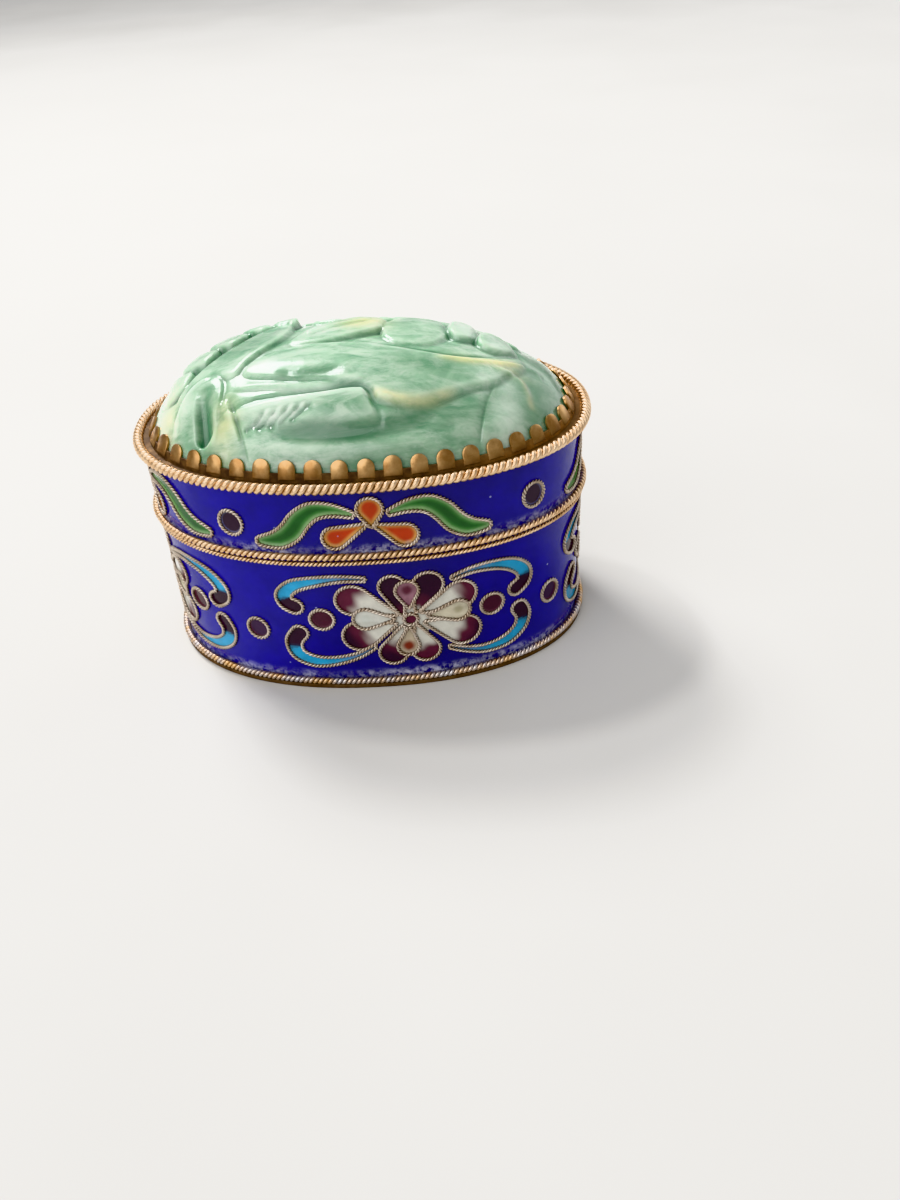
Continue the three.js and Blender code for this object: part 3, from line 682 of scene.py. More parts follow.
# A patch of one enamel: its outline, the function that colours its spots, and whether a wire runs round it
Cell = namedtuple("Cell", "outline colours has_wire", defaults=[True])


def edge_gap(spots, outline):
    """The distance from each spot to an outline."""
    best = np.full(len(spots), np.inf)
    for start, end in zip(outline, np.roll(outline, -1, axis=0)):
        run = end - start
        t = np.clip(((spots - start) @ run) / max(run @ run, 1e-12), 0, 1)
        best = np.minimum(best, np.linalg.norm(spots - start - t[:, None] * run, axis=1))
    return best


def inside(spots, outline):
    """Which spots lie within an outline."""
    found = np.zeros(len(spots), bool)
    for (x0, y0), (x1, y1) in zip(outline, np.roll(outline, -1, axis=0)):
        if y0 == y1:
            continue
        crosses = (spots[:, 1] < y0) != (spots[:, 1] < y1)
        found ^= crosses & (spots[:, 0] < x0 + (spots[:, 1] - y0) / (y1 - y0) * (x1 - x0))
    return found


def petal_colours(root, middle, dark, turn_at):
    """Cream from the root, turning in a streaky way through wine red to a dark end."""
    run = (np.asarray(middle) - root) * PETAL_REACH

    def colours(spots, gap):
        streaks = 0.035 * np.sin(spots[:, 0] * 2.3 + spots[:, 1] * 1.9)
        outwards = np.clip(((spots - root) @ run) / (run @ run), 0, 1)
        t = outwards + streaks - 0.05 * smooth_share(gap, 0, 0.9)
        body = mix(CREAM, WINE, smooth_share(t, turn_at - 0.2, turn_at + 0.06))
        return mix(body, dark, smooth_share(t, turn_at, turn_at + 0.34))
    return colours


def scroll_colours(spine):
    """A pale start, a cyan body and a dark purple hook."""
    line = curve_through(spine, 6, False)

    def colours(spots, gap):
        distance = np.linalg.norm(spots[:, None, :] - line[None], axis=2)
        t = distance.argmin(axis=1) / (len(line) - 1)
        body = mix(linear(120, 140, 190), CYAN, smooth_share(t, 0.12, 0.4))
        body = mix(body, PALE_CYAN, 0.5 * (1 - smooth_share(gap, 0.1, 0.5)))
        return mix(body, DARK_PURPLE, smooth_share(t, 0.7, 0.79))
    return colours


def spotted_colours(tint, spot, middle, reach):
    """One enamel with a soft spot of another."""
    def colours(spots, gap):
        far = np.linalg.norm(spots - np.asarray(middle), axis=1)
        return mix(tint, spot, 1 - smooth_share(far, 0.3 * reach, reach))
    return colours


def rimmed_colours(middle, rim, reach):
    """One enamel with a paler one along its wire."""
    def colours(spots, gap):
        return mix(rim, middle, smooth_share(gap, 0.25 * reach, reach))
    return colours


def leaf_colours(spots, gap):
    """Green that is pale along the wire and deep in the middle."""
    body = mix(PALE_GREEN, GREEN, smooth_share(gap, 0.15, 0.8))
    return mix(body, linear(14, 62, 26), 0.6 * smooth_share(gap, 0.7, 1.1))


def heart_colours(spots, gap):
    """Cream, with the wine red that ran in from the petals at the upper left."""
    stain = np.exp(-(((spots - (-1.7, 1.5)) / (1.1, 0.9)) ** 2).sum(axis=1))
    return mix(CREAM, WINE, np.clip(1.4 * stain, 0, 1))


def base_cells():
    """The cells of one base motif, the later ones lying over the earlier."""
    cells = [Cell(round_dot((0, 0), HEART_RADIUS, HEART_RADIUS), heart_colours, has_wire=False)]
    for (root, middle, radius), (dark, turn_at) in zip(OUTER_PETALS, OUTER_TINTS):
        cells.append(Cell(petal(root, middle, radius), petal_colours(root, middle, dark, turn_at)))
    for (root, middle, radius), (tint, spot, reach) in zip(INNER_PETALS, INNER_TINTS):
        cells.append(Cell(petal(root, middle, radius), spotted_colours(tint, spot, middle, reach)))
    cells.append(Cell(round_dot((0.1, -0.1), EYE_RADIUS, EYE_RADIUS), rimmed_colours(WINE, PINK, 0.3)))
    for spine in SCROLLS:
        cells.append(Cell(blade(spine, SCROLL_HALVES), scroll_colours(spine)))
    for middle in SIDE_DOTS:
        dot = round_dot(middle, SIDE_DOT_RADIUS, SIDE_DOT_RADIUS)
        cells.append(Cell(dot, rimmed_colours(linear(74, 36, 50), PINK, 0.4)))
    return cells


def spray_cells():
    """The cells of one lid motif."""
    cells = []
    for side in (-1, 1):
        spine = [(side * x, y) for x, y in SPRAY_LEAF]
        cells.append(Cell(blade(spine, LEAF_HALVES), leaf_colours))
    for root, middle, radius in SPRAY_PETALS:
        cells.append(Cell(petal(root, middle, radius), rimmed_colours(ORANGE, YELLOW, 0.85)))
    return cells


def gap_after(places_round, i):
    """The middle of the gap after motif i, as a share of the way round."""
    following = places_round[i + 1] if i + 1 < len(places_round) else places_round[0] + 1
    return (places_round[i] + following) / 2


def placed_cells():
    """Every cell with the place of its motif's middle: (wall, side, cell, along, height, up)."""
    spacer = Cell(round_dot((0, 0), *SPACER_HALVES), rimmed_colours(linear(60, 34, 66), PINK, 0.4))
    lid_rim = linear(150, 150, 190)
    lid_spacer = Cell(round_dot((0, 0), *LID_DOT_HALVES), rimmed_colours(linear(48, 28, 46), lid_rim, 0.45))
    for i, side in enumerate(MOTIF_SIDES):
        for cell in base_cells():
            yield "base", side, cell, FLOWERS_AT[i] * PERIMETER, BASE_MIDDLE, BASE_UP
        level = BASE_MIDDLE - SPACER_DROP * BASE_UP
        yield "base", side, spacer, gap_after(FLOWERS_AT, i) * PERIMETER, level, BASE_UP
        for cell in spray_cells():
            yield "lid", side, cell, SPRAYS_AT[i] * PERIMETER, LID_MIDDLE, LID_UP
        level = LID_MIDDLE - LID_DOT_DROP * LID_UP
        yield "lid", side, lid_spacer, gap_after(SPRAYS_AT, i) * PERIMETER, level, LID_UP


CELLS = list(placed_cells())
WIRE_STRAND = 0.148 * MM
WIRE_LAY = 0.95 * MM
OUTLINE_STEP = 0.12
SHORTEST_RUN = 6  # steps of wire that are worth laying
WIRE_RISE = 0.12 * MM  # of a wire's own line, off the enamel
# How much darker the wires are towards the enamel, and the heights off the enamel between which that fades
WIRE_DARKENING, DARKENING_FROM, DARKENING_TO = 0.9, 0.02 * MM, 0.3 * MM


def to_wall(outline, along, height, up):
    """An outline in a motif's units as [along, height] spots on the wall."""
    return np.column_stack([along + outline[:, 0] * ACROSS, height + outline[:, 1] * up])


def shown_runs(cell, over):
    """The stretches of a cell's wire that no later cell covers, each with whether it closes."""
    if not cell.has_wire:
        return []
    line = finely_spaced(cell.outline)
    hidden = np.zeros(len(line), bool)
    for outline in over:
        hidden |= inside(line, outline)
    if not hidden.any():
        return [(line, True)]
    line, hidden = np.roll(line, -int(hidden.argmax()), axis=0), np.roll(hidden, -int(hidden.argmax()))
    runs, run = [], []
    for spot, is_hidden in zip(line, hidden):
        if not is_hidden:
            run.append(spot)
        elif run:
            runs.append(run)
            run = []
    if run:
        runs.append(run)
    return [(np.array(run), False) for run in runs if len(run) > SHORTEST_RUN]


def finely_spaced(outline):
    """A closed outline's points set evenly, a small step apart."""
    closed = np.vstack([outline, outline[:1]])
    lengths = np.concatenate([[0], np.cumsum(np.hypot(*np.diff(closed, axis=0).T))])
    evenly = np.arange(0, lengths[-1], OUTLINE_STEP)
    return np.column_stack([np.interp(evenly, lengths, closed[:, axis]) for axis in (0, 1)])


def cell_wires(wall, side, nodes):
    """The twisted wires round one motif's cells and round the dot beside it."""
    chosen = [entry for entry in CELLS if entry[:2] == (wall, side)]
    lines = []
    for i, (_, _, cell, along, height, up) in enumerate(chosen):
        over = [later.outline for _, _, later, *place, _ in chosen[i + 1:]
                if place == [along, height] and later.has_wire]
        for run, is_closed in shown_runs(cell, over):
            lines.append((on_wall(to_wall(run, along, height, up), WIRE_RISE).tolist(), is_closed))
    points, edges = loops_and_runs(lines)
    piece = grown(f"{wall}_wires_{side}", points, edges, TWISTING, {
        "Strands": 2, "Strand Radius": WIRE_STRAND, "Lay": WIRE_LAY, "Step": WIRE_LAY / 8, "Sides": 5,
        "Metal": WIRE_METAL,
    })
    spots = places(piece)
    face = on_wall(np.column_stack([nearest_along(spots), spots[:, 2]]), 0)
    proud = np.linalg.norm(spots[:, :2], axis=1) - np.linalg.norm(face[:, :2], axis=1)
    # Darker towards the enamel, lighter on the wire's crest
    paint(piece, "hollow", WIRE_DARKENING * (1 - smooth_share(proud, DARKENING_FROM, DARKENING_TO)))
    return finish_piece(piece, WIRE_METAL, "wire_metal", *nodes)


# Enamel
ENAMEL_STEP = 0.185 * MM
MENISCUS = 0.07 * MM  # how far the enamel climbs a wire
MENISCUS_REACH = 0.45  # from the wire, in the motif's units
ENAMEL_SINK = 0.04 * MM  # of the open face, below the wall's own line
EDGE_BEAD, BEAD_REACH = 0.05 * MM, 0.5 * MM
# Where the whitish haze on the enamel is full and where it ends, measured from the lower and the upper edge
FOOT_HAZE, TOP_HAZE = (0.5 * MM, 2.2 * MM), (0.3 * MM, 1.2 * MM)
TOP_HAZE_SHARE = 0.35


def enamel_band(name, node, wall, low, high):
    """A coat of enamel with its cells' colours, climbing a little at every wire."""
    columns = int(PERIMETER / ENAMEL_STEP)
    rows = int((high - low) / ENAMEL_STEP)
    along, height = (a.ravel() for a in np.meshgrid(
        np.arange(columns) / columns * PERIMETER, np.linspace(low, high, rows), indexing="xy"))
    drift = 0.5 + 0.5 * np.sin(along / PERIMETER * TURN * 3 + 1.0)
    colours = mix(COBALT, DEEP_COBALT, drift)
    gap_to_wire = np.full(len(along), np.inf)
    for cell_wall, _, cell, middle, level, up in CELLS:
        if cell_wall != wall:
            continue
        off = (along - middle + PERIMETER / 2) % PERIMETER - PERIMETER / 2
        spots = np.column_stack([off / ACROSS, (height - level) / up])
        near = np.all((spots > cell.outline.min(0) - 1) & (spots < cell.outline.max(0) + 1), axis=1)
        gap = edge_gap(spots[near], cell.outline)
        within = inside(spots[near], cell.outline)
        if cell.has_wire:
            gap_to_wire[near] = np.minimum(gap_to_wire[near], gap)
        chosen = np.flatnonzero(near)[within]
        colours[chosen] = cell.colours(spots[chosen], gap[within])
    climb = MENISCUS * (1 - smooth_share(gap_to_wire, 0.0, MENISCUS_REACH)) - ENAMEL_SINK
    edge = np.minimum(height - low, high - height)
    climb += EDGE_BEAD * (1 - smooth_share(edge, 0, BEAD_REACH))
    outer = on_wall(np.column_stack([along, height]), climb)
    inner_levels = np.repeat([high, (low + high) / 2, low], columns)
    inner = on_wall(np.column_stack([np.tile(along[:columns], 3), inner_levels]), -ENAMEL_THICKNESS)
    faces = grid_faces(rows + 3, columns, rows_close=True)
    piece = mesh_piece(name, np.concatenate([outer, inner]), faces, 50)
    paint(piece, "enamel_colour", np.concatenate([colours, np.tile(COBALT, (len(inner), 1))]))
    foot_haze = 1 - smooth_share(height - low, *FOOT_HAZE)
    top_haze = TOP_HAZE_SHARE * (1 - smooth_share(high - height, *TOP_HAZE))
    paint(piece, "haze", np.concatenate([np.maximum(foot_haze, top_haze), np.zeros(len(inner))]))
    return finish_piece(piece, ENAMEL_GLAZE, "blue_enamel", node)


# The bezel: a plain strip with a row of rounded tabs
TAB_COUNT = 46
FIRST_TAB = 0.45  # of a pitch, from the middle of the front
TAB_HALF_WIDTH = 1.03 * MM
TAB_THICKNESS = 0.32 * MM
TAB_FOOT = 0.25 * MM
TAB_EDGE, TAB_FACE = 0.7, 0.86  # where a tab's soft edge starts in its thickness, and how much face it leaves
STRIP_HEIGHT = 1.1 * MM
STRIP_STAND_OFF = 0.25 * MM
STRIP_THICKNESS = 0.2 * MM
STONE_INSET = 1.15 * MM
STONE_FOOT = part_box("lid_jade_stone")[0].z
TAB_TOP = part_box("lid_tab_strip")[1].z - STONE_FOOT
DOME_FULLNESS = 2.6
DOME_STEEPNESS = 0.7
DOME_HEIGHT = 10.65 * MM


def dome_height(reach):
    """The plain dome's height at a share of the way out."""
    return DOME_HEIGHT * (1 - np.clip(reach, 0, 1) ** DOME_FULLNESS) ** DOME_STEEPNESS


def dome_reach(height):
    """The share of the way out at which the dome has a height."""
    return (1 - (height / DOME_HEIGHT) ** (1 / DOME_STEEPNESS)) ** (1 / DOME_FULLNESS)


def beside_dome(along, height, off):
    """Places `off` outside the stone's side, at a height over its foot."""
    flat = oval(angle_along(along), -STONE_INSET) * dome_reach(height) + outward_along(along) * off
    return np.column_stack([flat, np.full(len(along), STONE_FOOT + height)])


def tab_shape():
    """One tab with a round top, standing on the origin with its face to +X."""
    straight = TAB_TOP - TAB_FOOT - TAB_HALF_WIDTH
    turn = np.linspace(0, TURN / 2, 9)
    arch = np.column_stack([-TAB_HALF_WIDTH * np.cos(turn), straight + TAB_HALF_WIDTH * np.sin(turn)])
    profile = np.vstack([[-TAB_HALF_WIDTH, 0], arch, [TAB_HALF_WIDTH, 0]])
    middle = np.array([0, straight * 0.6])
    count = len(profile)
    rings = [np.column_stack([np.full(count, depth), middle + (profile - middle) * scale])
             for depth, scale in ((0.0, 1.0), (TAB_THICKNESS * TAB_EDGE, 1.0), (TAB_THICKNESS, TAB_FACE))]
    faces = [*grid_faces(len(rings), count).tolist(), range(count)[::-1], range(2 * count, 3 * count)]
    return mesh_piece("tab_pattern", np.concatenate(rings), faces, 40)


def tab_row_tree():
    """Sets a tab on each point, turned to face outwards and to lean with the stone."""
    t = geometry_tree("row_of_tabs", "Places", "Row", Tab=("Object", None), Metal=("Material", None),
                      Size_Spread=("Float", 0.08), Seed=("Int", 5))
    given = t.add("NodeGroupInput").outputs
    tab = t.get("Geometry", "GeometryNodeObjectInfo", Object=given["Tab"])
    vectors = {"data_type": "FLOAT_VECTOR"}
    lean, outward = (t.get("Attribute", "GeometryNodeInputNamedAttribute", vectors, Name=name)
                     for name in ("lean", "outward"))
    align = "FunctionNodeAlignRotationToVector"
    upright = t.get("Rotation", align, {"axis": "Z", "pivot_axis": "AUTO"}, Vector=lean)
    turned = t.get("Rotation", align, {"axis": "X", "pivot_axis": "Z"}, Rotation=upright, Vector=outward)
    least, most = (t.math(kind, 1.0, given["Size Spread"]) for kind in ("SUBTRACT", "ADD"))
    size = t.get(1, "FunctionNodeRandomValue", {"data_type": "FLOAT"}, i2=least, i3=most, Seed=given["Seed"])
    put = t.get("Instances", "GeometryNodeInstanceOnPoints", Points=given["Places"], Instance=tab,
                Rotation=turned, Scale=size)
    real = t.get("Geometry", "GeometryNodeRealizeInstances", Geometry=put)
    t.add("NodeGroupOutput", Row=t.get("Geometry", "GeometryNodeSetMaterial", Geometry=real,
                                       Material=given["Metal"]))
    return t.tree


def bezel():
    """The strip and its tabs, which lean in over the stone's foot."""
    along = (np.arange(TAB_COUNT) + FIRST_TAB) / TAB_COUNT * PERIMETER
    foot, top = (beside_dome(along, height, STRIP_STAND_OFF) for height in (TAB_FOOT, TAB_TOP))
    before, after = (beside_dome(along + step, TAB_FOOT, STRIP_STAND_OFF)
                     for step in (-TAB_HALF_WIDTH / 4, TAB_HALF_WIDTH / 4))
    run = after - before
    run /= np.linalg.norm(run, axis=1, keepdims=True)
    lean = top - foot
    lean -= run * (lean * run).sum(axis=1, keepdims=True)
    lean /= np.linalg.norm(lean, axis=1, keepdims=True)
    outward = np.column_stack([run[:, 1], -run[:, 0], np.zeros(TAB_COUNT)])
    pattern = tab_shape()
    tabs = grown("tabs", foot, [], tab_row_tree(), {"Tab": pattern, "Metal": TAB_METAL},
                 {"outward": outward, "lean": lean})
    bpy.data.objects.remove(pattern)
    ring = np.arange(ROUND_STEPS) / ROUND_STEPS * PERIMETER
    front = STRIP_STAND_OFF + STRIP_THICKNESS
    corners = ((0.0, STRIP_STAND_OFF), (STRIP_HEIGHT, STRIP_STAND_OFF), (STRIP_HEIGHT, front), (0.0, front))
    rings = [beside_dome(ring, height, off) for height, off in corners]
    faces = grid_faces(len(corners), ROUND_STEPS, rows_close=True)
    strip = mesh_piece("bezel", np.concatenate(rings), faces, 40)
    # Painted shade on the strip, in the recess behind the tabs
    paint(strip, "hollow", shade_by_length(places(strip), 0.95, 0.4))
    # Painted shade at the tabs' feet, which leaves their tops bright
    rise = (places(tabs)[:, 2] - STONE_FOOT) / TAB_TOP
    paint(tabs, "hollow", 0.8 * (1.0 - smooth_share(rise, 0.1, 0.6)))
    with bpy.context.temp_override(active_object=strip, selected_editable_objects=[strip, tabs]):
        bpy.ops.object.join()
    return finish_piece(strip, TAB_METAL, "rope_metal", "lid_tab_strip")


# The stone
STONE_COLUMNS = 372
STONE_ROWS = 248
TOP_SHIFT = -1.5 * MM
KEPT_REACH, CUT_REACH = 0.93, 0.84  # the forms die away between these shares of the way out
FINE_REACH, FINE_END = 0.94, 0.98  # and the fine carving between these
GROUND_DEPTH = 0.25  # millimetres that the whole carved field is taken down below the dome
FORM_SHARE = 0.75  # of the heights below
GREATEST_DEPTH, GREATEST_RISE = 1.9, 1.25
POLISHING = 2  # rounds of evening out
HOLLOW_ROUNDS = 60  # of evening out, against which hollows and ridges are told
FULL_HOLLOW, FULL_RIDGE = 0.4, 0.3  # millimetres at which the painted shade in hollows and the painted highlight on ridges are full
MEETING = (-0.38, 0.3)  # millimetres across a form's edge in which it meets the ground
LEAN_MIDDLE, LEAN_SLOPE, LEAN_LEAST = 0.72, 0.45, 0.12  # how a form falls off from its high side
EDGE_SHARE = 0.62  # of a form's rise, that its edge has
DISH_DEPTH, DISH_SHOULDER = 0.2, 0.25
GROOVE_ROOM = 2  # millimetres round a form in which its groove is worked out
FORM_STEPS, LINE_STEPS = 7, 8  # from one point of a form or a line to its next
# Shares of its length over which a line fades at its ends
EDGE_TAPER, GROOVE_TAPER, FINE_TAPER, VEIN_TAPER, BAND_TAPER = 0.16, 0.3, 0.2, 0.25, 0.25
EDGE_STEP = 0.3  # millimetres to each side of an edge in which it goes over from high to low

# The carving, in millimetres seen from above, from the middle of the stone with +Y to the back.
# The lobes round the scalloped petal at the left, each with its rise
LOBES = (
    (((-24.6, -3.4), (-24.8, -0.4), (-22.8, 1.2), (-20.8, -0.2), (-21.6, -3.2)), 1.7),
    (((-22.8, 1.2), (-21.8, 4.2), (-19.4, 4.8), (-17.6, 2.8), (-19.2, 0.0)), 2.0),
    (((-19.6, 4.6), (-18.2, 7.4), (-15.6, 7.6), (-13.8, 5.4), (-16.0, 2.7)), 2.2),
)
# Lines that are both cut and tinted: the curl's rim with a painted highlight, the leaf's back with painted
# shade
CURL_RIM = ((-22.3, -10.0), (-22.0, -7.4), (-20.2, -4.9), (-17.6, -4.2))
LEAF_BACK = ((1.2, -1.2), (5.6, -2.7), (10.4, -3.7), (15.0, -3.1), (19.0, -1.0), (21.2, 1.4))
# A form is a raised leaf or petal within an outline. It stands highest towards its `high` side, its
# edge is rounded over `shoulder`, and it is cut free by a groove. A dish is hollow in its middle.
FORMS = (
    # Leaves and petals at the back
    dict(outline=((-6.0, 8.6), (-1.0, 11.4), (6.0, 12.0), (12.0, 10.0), (9.0, 7.4), (3.0, 6.4), (-3.0, 6.8)),
         rise=0.9, shoulder=1.6, groove=0.4, reach=0.8, high=(0.3, -0.6)),
    dict(outline=((8.5, 6.8), (12.5, 9.2), (18.0, 8.0), (21.0, 4.4), (17.0, 4.2), (12.0, 4.8)),
         rise=0.8, shoulder=1.4, groove=0.4, reach=0.8, high=(-0.5, -0.4)),
    dict(outline=((-17.0, 8.4), (-12.0, 11.6), (-5.0, 12.8), (-2.6, 11.6), (-7.0, 9.8), (-12.0, 8.8)),
         rise=0.7, shoulder=1.2, groove=0.35, reach=0.7, high=(0.7, 0.0)),
    # The scalloped petal at the left, and its lobes
    *[dict(outline=lobe, rise=rise, shoulder=1.1, groove=0.8, reach=0.5, high=(-0.2, 0.2))
      for lobe, rise in LOBES],
    dict(outline=((-15.6, 7.4), (-14.0, 9.8), (-11.6, 9.8), (-10.0, 7.6), (-12.4, 5.1)),
         rise=2.4, shoulder=1.1, groove=0.8, reach=0.5, high=(-0.1, 0.2)),
    dict(outline=((-11.4, 8.8), (-10.2, 10.4), (-8.2, 10.0), (-7.6, 7.0), (-8.8, 5.0), (-10.6, 6.2)),
         rise=2.3, shoulder=1.0, groove=0.8, reach=0.5, high=(0.1, 0.1)),
    dict(outline=((-22.3, -4.5), (-20.7, -2.4), (-18.1, 0.1), (-14.6, 3.1), (-10.9, 5.8), (-9.0, 6.2),
                  (-8.2, 4.2), (-9.6, 0.4), (-12.6, -2.8), (-14.6, -5.4), (-17.6, -4.6), (-20.4, -4.6)),
         rise=1.0, shoulder=2.4, groove=0.1, reach=0.7, high=(0.25, 0.25), is_dish=True),
    # The crown: a petal that rises to the right, a bulge and two buds
    dict(outline=((-8.0, -0.2), (-6.4, 3.0), (-2.8, 6.0), (1.4, 6.8), (4.2, 4.8), (3.4, 2.0), (-0.4, 0.2),
                  (-4.6, -1.0)),
         rise=1.2, shoulder=2.2, groove=0.4, reach=0.6, high=(0.9, 0.2)),
    dict(outline=((3.6, 0.4), (4.2, 4.4), (7.0, 6.8), (10.6, 6.0), (12.0, 2.4), (9.8, -1.6), (5.6, -1.8)),
         rise=1.2, shoulder=3.4, groove=0.5, reach=0.5, high=(0.1, 0.8)),
    dict(outline=((11.8, 2.4), (12.2, 5.6), (14.4, 6.2), (15.8, 3.6), (14.8, 1.0), (12.8, 0.8)),
         rise=1.75, shoulder=0.9, groove=0.7, reach=0.6, high=(-0.2, 0.3)),
    dict(outline=((15.4, 1.4), (16.4, 4.2), (18.8, 4.0), (20.2, 1.2), (18.2, -0.6), (16.2, -0.4)),
         rise=1.45, shoulder=1.0, groove=0.6, reach=0.6, high=(-0.2, 0.4)),
    # The curl at the left front
    dict(outline=((-17.2, -4.2), (-20.2, -4.6), (-22.2, -7.2), (-22.4, -10.4), (-20.8, -12.8), (-17.8, -13.2),
                  (-16.4, -10.0), (-15.9, -6.6)),
         rise=0.95, shoulder=1.5, groove=0.5, reach=0.5, high=(-0.9, 0.3)),
    # The broad smooth leaf across the middle
    dict(outline=((-13.2, -4.6), (-11.0, -2.8), (-6.0, -1.4), (0.0, -1.4), (5.0, -2.8), (10.0, -3.8),
                  (15.0, -3.2), (20.4, 0.2), (21.0, -2.4), (18.8, -5.2), (17.0, -7.4), (13.4, -9.4),
                  (10.0, -11.0), (6.4, -11.9), (3.4, -11.6), (2.2, -10.2), (-1.6, -9.0), (-6.0, -8.4),
                  (-10.0, -7.4), (-12.8, -6.2)),
         rise=0.8, shoulder=3.0, groove=0.3, reach=0.6, high=(0.1, -0.7)),
    # The small veined leaf in front
    dict(outline=((-15.4, -10.5), (-10.0, -10.5), (-4.0, -10.4), (0.4, -10.2), (1.6, -10.5), (2.4, -12.0),
                  (3.0, -13.4), (0.0, -13.9), (-4.0, -13.7), (-8.0, -13.0), (-12.0, -11.8)),
         rise=0.66, shoulder=1.2, groove=0.3, reach=0.7, high=(0.5, 0.4)),
)
# An edge runs along a line with its left hand side proud: (line, rise, how far it fades, cut, cut's reach)
EDGES = (
    (((-14.6, -7.9), (-10.0, -8.8), (-5.0, -9.6), (-0.8, -9.5), (1.8, -9.6)), 0.34, 0.8, 0.35, 0.6),
    (((15.0, -15.0), (15.8, -11.0), (17.2, -7.6)), 0.16, 2.6, 0.2, 1.6),
    (((-13.0, -15.4), (-14.0, -12.0), (-15.4, -8.4)), 0.3, 1.6, 0.24, 0.9),
    (((21.2, -10.4), (21.6, -7.0), (20.4, -4.6), (17.0, -4.4)), 0.3, 1.0, 0.16, 1.4),
    (((23.6, -3.4), (22.8, -1.0), (19.4, -2.4), (14.6, -4.3), (9.4, -4.7)), 0.34, 0.6, 0.1, 0.9),
    (((-9.4, -2.4), (-4.0, -2.0), (1.5, -2.6)), 0.06, 0.9, 0.08, 0.9),
    (((-25.2, -4.0), (-24.4, -7.6), (-22.4, -11.4)), 0.3, 0.9, 0.3, 0.9),
    (((-6.0, 1.2), (-2.5, 3.2), (2.0, 4.2)), 0.24, 0.9, 0.2, 0.8),
    (((-1.8, -15.9), (3.0, -15.6), (8.0, -14.6), (12.5, -12.6)), 0.1, 1.4, 0.14, 1.2),
)
# A groove runs along a line: (line, depth, half width to its left, half width to its right)
GROOVES = (
    (((-12.8, -12.6), (-8.0, -14.0), (-3.0, -14.7), (2.0, -14.4), (7.0, -13.1), (11.6, -11.0), (16.0, -8.2)),
     0.62, 0.8, 2.1),
    (LEAF_BACK, 0.6, 0.3, 0.3),
    (((-13.4, -9.6), (-9.0, -10.0), (-4.0, -10.2), (-0.6, -10.0)), 0.3, 0.4, 0.4),
    (((-9.6, -7.2), (-5.5, -7.9), (-0.5, -7.7)), 0.34, 1.0, 0.9),
    (((-22.8, -3.2), (-19.6, -1.2), (-15.4, 2.0), (-10.9, 5.2)), 0.2, 0.5, 0.5),
    (((-3.6, 8.6), (2.0, 9.6), (8.0, 9.4)), 0.22, 0.35, 0.35),
    (((10.6, 7.2), (14.2, 7.0), (18.2, 5.6)), 0.2, 0.35, 0.35),
    (((-14.4, 9.2), (-9.4, 10.8), (-4.8, 11.6)), 0.18, 0.35, 0.35),
)
# Small slanting cuts in the veined leaf, and in the leaf behind, steep on one side
VEINS = (
    *[((x - 3.0, -12.7 - 0.07 * (x + 9)), (x - 1.4, -12.3), (x + 0.3, -11.5))
      for x in (-10.4, -8.9, -7.4, -6.0, -4.7)],
    *[((x, 9.3 + 0.02 * x), (x + 1.0, 10.2), (x + 2.3, 10.9)) for x in (-2.5, -0.5, 1.5, 3.5, 5.5)],
    *[((x, 9.0), (x + 0.8, 8.2), (x + 1.8, 7.5)) for x in (-2.0, 0.0, 2.0, 4.0)],
)
VEIN_DEPTH, VEIN_STEEP, VEIN_FLAT = 0.5, 0.14, 0.6
# Lines that stay crisp, each given as a groove is. One with a depth below nothing stands up.
FINE_LINES = (
    (((14.4, -16.8), (15.2, -13.0), (16.0, -10.0), (17.2, -7.0)), 0.24, 0.6, 0.16),
    (((-12.4, -16.6), (-13.2, -13.4), (-14.6, -9.2)), 0.2, 0.6, 0.16),
    (CURL_RIM, -0.2, 0.5, 0.3),
    (((-13.4, -11.5), (-8.0, -11.4), (-3.0, -11.2), (0.8, -11.0)), 0.12, 0.14, 0.4),
    (((1.4, -10.8), (2.4, -12.4), (3.0, -13.4)), 0.14, 0.5, 0.14),
    (((2.6, -10.6), (5.0, -11.7), (9.0, -11.5), (12.4, -9.8), (16.6, -7.5)), -0.12, 0.5, 0.3),
    (((-7.2, 0.6), (-4.6, 3.2), (-1.2, 5.2), (1.6, 5.6)), -0.12, 0.4, 0.4),
)
# The slot in the curl, which deepens from its start
SLOT = ((-18.4, -6.8), (-18.1, -11.0))
SLOT_DEPTH, SLOT_START = 1.9, 0.15
SLOT_FLOOR, SLOT_BRIM = 0.1875, 1.5  # from its line to where its side starts to rise, and to its brim
# Where the stone is whitish, partly its own colour and partly painted highlight, creamy yellow, and a deeper
# green, partly its own colour and partly painted shade: (middle, half sizes, strength)
PALE_AND_HIGHLIGHT_PATCHES = (
    ((-11.0, -4.9), (1.8, 0.9), 1.0), ((-4.2, 2.4), (2.2, 1.6), 0.9), ((-9.2, -12.2), (1.6, 0.7), 0.9),
    ((-24.6, -4.0), (2.0, 7.0), 0.9), ((18.8, -10.0), (2.2, 3.6), 0.7), ((-5.0, -10.9), (8.0, 0.4), 0.7),
    ((13.8, 3.6), (1.6, 2.2), 0.9), ((17.8, 2.0), (1.4, 1.8), 0.6), ((-21.4, -6.6), (1.2, 2.6), 0.7),
    ((-15.0, 8.6), (5.0, 1.6), 0.6), ((2.8, -2.2), (0.9, 0.7), 0.9), ((-7.0, -3.6), (3.0, 0.6), 0.3),
)
WARM_PATCHES = (((17.5, -4.0), (4.0, 1.0), 0.6), ((1.0, 3.6), (3.0, 2.0), 0.7),
                ((-15.6, -11.4), (1.8, 3.0), 0.5), ((-23.6, -6.8), (1.6, 4.0), 0.5))
